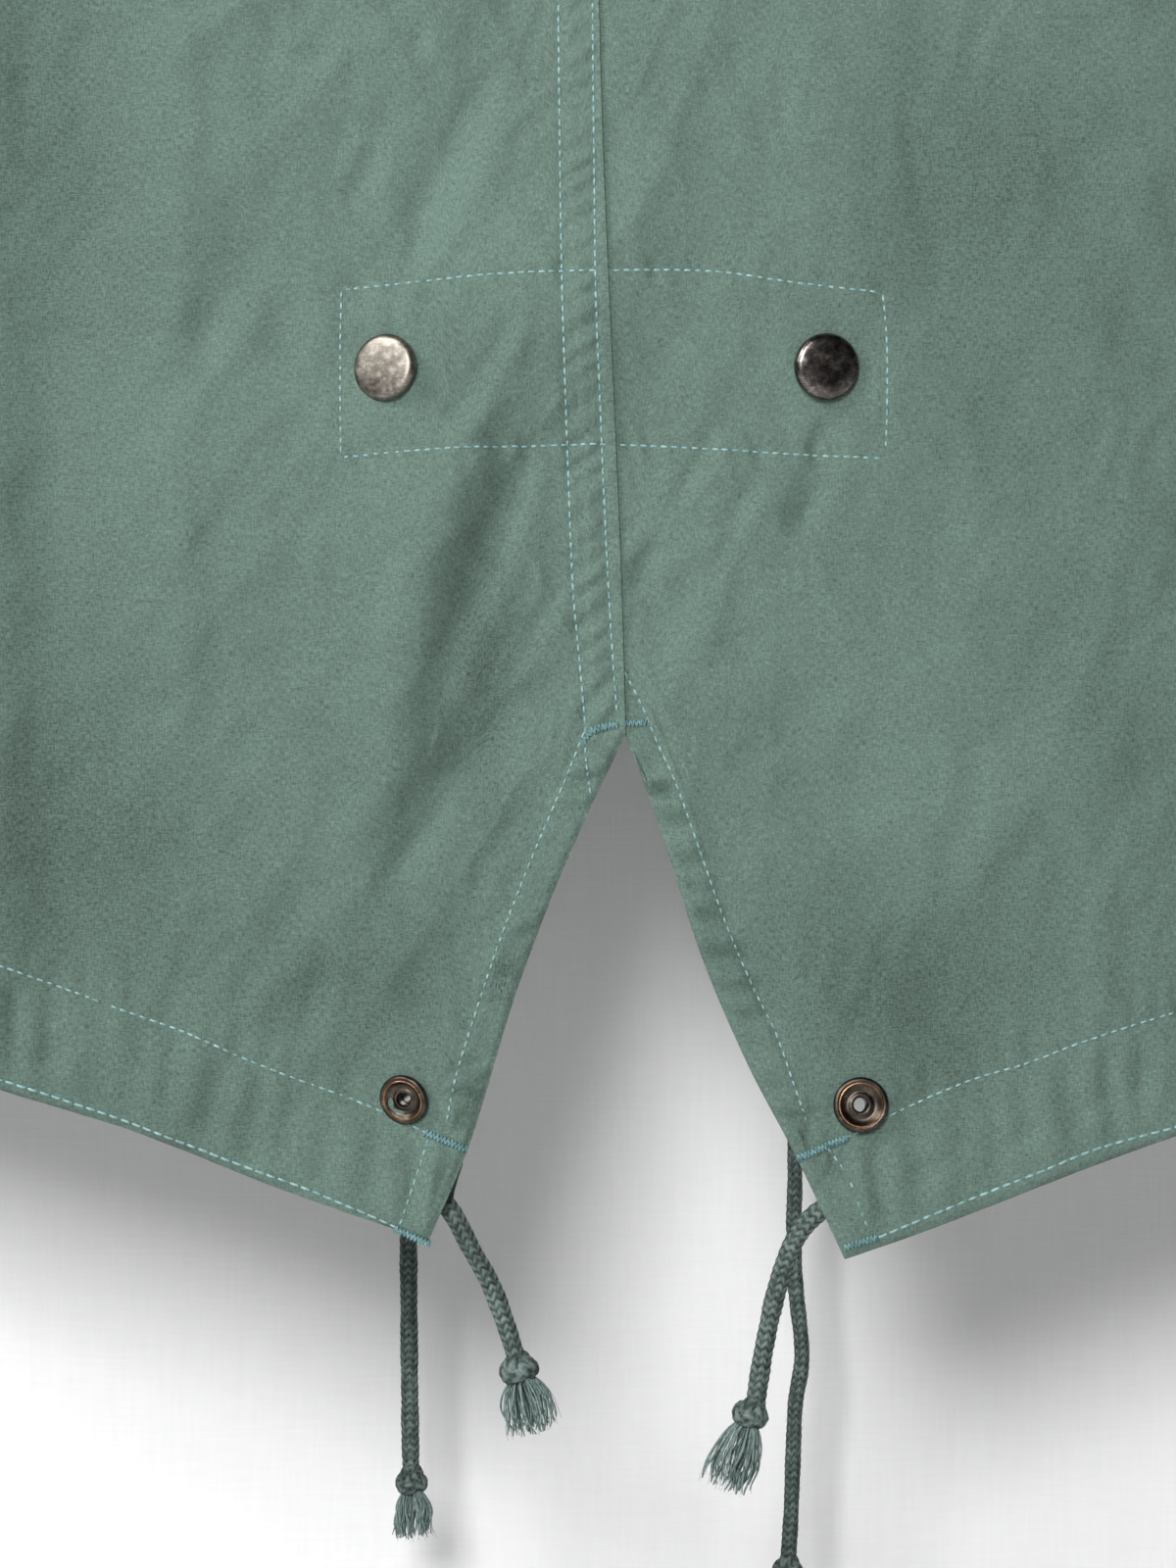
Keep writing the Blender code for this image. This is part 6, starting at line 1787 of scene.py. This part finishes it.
# ================================================================ hanger
BAR_STATIONS = 90
BAR_SIDES = 28


def hanger_top(x):
    """Height of the bar's upper side, just under the shoulder seams and up to its peak."""
    share = np.maximum(np.abs(x) / SHOULDER_X, NECK_SHARE)
    seam = shoulder_line(share, 0.0) - HANGER_DROP
    inside = smooth(1.0 - np.abs(x) / NECK_HALF_WIDTH)
    return seam + (HANGER_PEAK - seam) * inside


def hanger():
    x = np.linspace(-HANGER_TIP_X, HANGER_TIP_X, BAR_STATIONS)
    end = np.abs(x) / HANGER_TIP_X
    half = HANGER_HALF_WIDTH * (1.0 - 0.35 * end ** 6)
    deep = HANGER_DEPTH * (1.0 - 0.30 * end ** 4)
    angles = 2.0 * math.pi * np.arange(BAR_SIDES) / BAR_SIDES
    across = np.sign(np.sin(angles)) * np.abs(np.sin(angles)) ** 0.55
    down = (1.0 - np.sign(np.cos(angles)) * np.abs(np.cos(angles)) ** 0.75) / 2.0
    points = np.stack([np.tile(x[:, None], (1, BAR_SIDES)), half[:, None] * across,
                       hanger_top(x)[:, None] - deep[:, None] * down], axis=-1)
    faces = [tuple(face) for face in cell_faces(BAR_STATIONS, BAR_SIDES, True)]
    faces.append(tuple(np.arange(BAR_SIDES)))
    faces.append(tuple((BAR_STATIONS - 1) * BAR_SIDES + np.arange(BAR_SIDES)[::-1]))
    bar = mesh_piece("hanger_bar_wood", points.reshape(-1, 3), faces, sharp=50)
    stands_for(bar, "hanger_bar", BEECH)
    route = list(HOOK_NECK)
    radius = HOOK_RADIUS + HOOK_WIRE / 2.0
    for degrees in range(-25, 196, 20):
        angle = math.radians(degrees)
        route.append((radius * math.cos(angle), 0.0, radius * math.sin(angle) - HOOK_RADIUS))
    line = smooth_route(route, 0.0016)
    wire = tubes_mesh("hanger_hook_wire", [(line, np.full(len(line), HOOK_WIRE / 2.0))], 18, sharp=50)
    stands_for(wire, "hanger_hook", STEEL)


# ================================================================ picture
def plane(name, corners, material):
    piece = mesh_piece(name, corners, [(0, 1, 2, 3)])
    piece.data.materials.append(material)
    return piece


def stage():
    """A floor, and a wall that shows on its side to the coat only and sends it no light or shadow."""
    wide, top = 1.6, 0.9
    pale = paper_material("pale_wall", 0.77)
    plane("floor", [(-6.0, -6.0, FLOOR_Z), (6.0, -6.0, FLOOR_Z), (6.0, 6.0, FLOOR_Z), (-6.0, 6.0, FLOOR_Z)],
          paper_material("pale_floor", 0.74))
    wall = plane("wall", [(-wide, WALL_Y, FLOOR_Z), (wide, WALL_Y, FLOOR_Z), (wide, WALL_Y, top),
                          (-wide, WALL_Y, top)], pale)
    tree = pale.node_tree
    see_through = node(tree, "ShaderNodeBsdfTransparent")
    side = node(tree, "ShaderNodeNewGeometry")
    mix = node(tree, "ShaderNodeMixShader")
    tree.links.new(side.outputs["Backfacing"], mix.inputs[0])
    tree.links.new(tree.nodes["Principled BSDF"].outputs[0], mix.inputs[1])
    tree.links.new(see_through.outputs[0], mix.inputs[2])
    tree.links.new(mix.outputs[0], tree.nodes["Material Output"].inputs["Surface"])
    wall.visible_diffuse = False
    wall.visible_shadow = False
    wall.visible_glossy = False


def placed(name, data, place):
    made = bpy.data.objects.new(name, data)
    made.location = place
    bpy.context.scene.collection.objects.link(made)
    return made


def area_light(name, place, target, size, power):
    data = bpy.data.lights.new(name, "AREA")
    data.shape = "SQUARE"
    data.size = size
    data.energy = power
    made = placed(name, data, place)
    made.rotation_euler = (Vector(target) - Vector(place)).to_track_quat("-Z", "Y").to_euler()
    made.visible_camera = False


def lights():
    bpy.context.scene.view_settings.view_transform = "Standard"
    world = bpy.data.worlds.new("soft_light")
    world.use_nodes = True
    fill(world.node_tree, world.node_tree.nodes["Background"], Color=(0.95, 0.97, 1.0, 1.0), Strength=0.040)
    bpy.context.scene.world = world
    area_light("key", (-0.42, -2.05, -0.22), (0.0, 0.0, -1.10), 0.7, 48.0)
    area_light("side", (-1.9, -1.3, 0.60), (0.0, 0.0, -1.05), 0.6, 47.0)
    area_light("front", (1.4, 2.6, 1.1), (0.0, 0.0, -0.6), 1.6, 84.0)


def camera():
    data = bpy.data.cameras.new("camera")
    data.lens = LENS
    data.sensor_width = SENSOR
    data.sensor_fit = "AUTO"
    made = placed("camera", data, CAMERA_PLACE)
    made.rotation_euler = (math.pi / 2.0, 0.0, 0.0)
    bpy.context.scene.camera = made


# ================================================================ the scene
camera()
for row in CORDS:
    cord(row)
lights()
stage()

BOTH = (-1, 1)
backs = [back_panel(side) for side in BOTH]
fronts = [front_panel(side) for side in BOTH]
back_tunnels = [back_tunnel(side) for side in BOTH]
front_tunnels = [front_tunnel(side) for side in BOTH]
patch = snap_patch()
fly, garment_lines, fly_surface = front_fly()
sleeves = []
hoods = []
for side in BOTH:
    for made, pieces in ((sleeve(side), sleeves), (hood_half(side), hoods)):
        pieces.append(made[0])
        garment_lines += made[1]
for back, front in zip(backs, fronts):
    garment_lines += panel_stitches(*front[1:], *back[1:])
back_stitches()
bartacks()
finish_piece(stitch_mesh("garment_topstitching", garment_lines, PLAIN_STITCH), "front_fly", THREAD)
snaps()
fly_caps(fly_surface)
hanger()

# each sheet as cut: width, length and area of what shows
for pieces, width, length, area, rests_on in (
    ((backs[0][0], backs[1][0]), 0.315, 1.030, 0.290, "hanger_bar"),
    ((fronts[0][0], fronts[1][0]), 0.315, 0.900, 0.262, "hanger_bar"),
    (back_tunnels, 0.255, 0.032, 0.0081, "back_left"),
    (front_tunnels, 0.250, 0.030, 0.0075, "front_left"),
    ((patch,), 0.122, 0.040, None, "back_left"),
    ((fly,), 0.070, 0.810, 0.0560, "front_left"),
    (sleeves, 0.480, 0.620, 0.170, "hanger_bar"),
    (hoods, 0.330, 0.560, 0.114, "hanger_bar"),
):
    for piece in pieces:
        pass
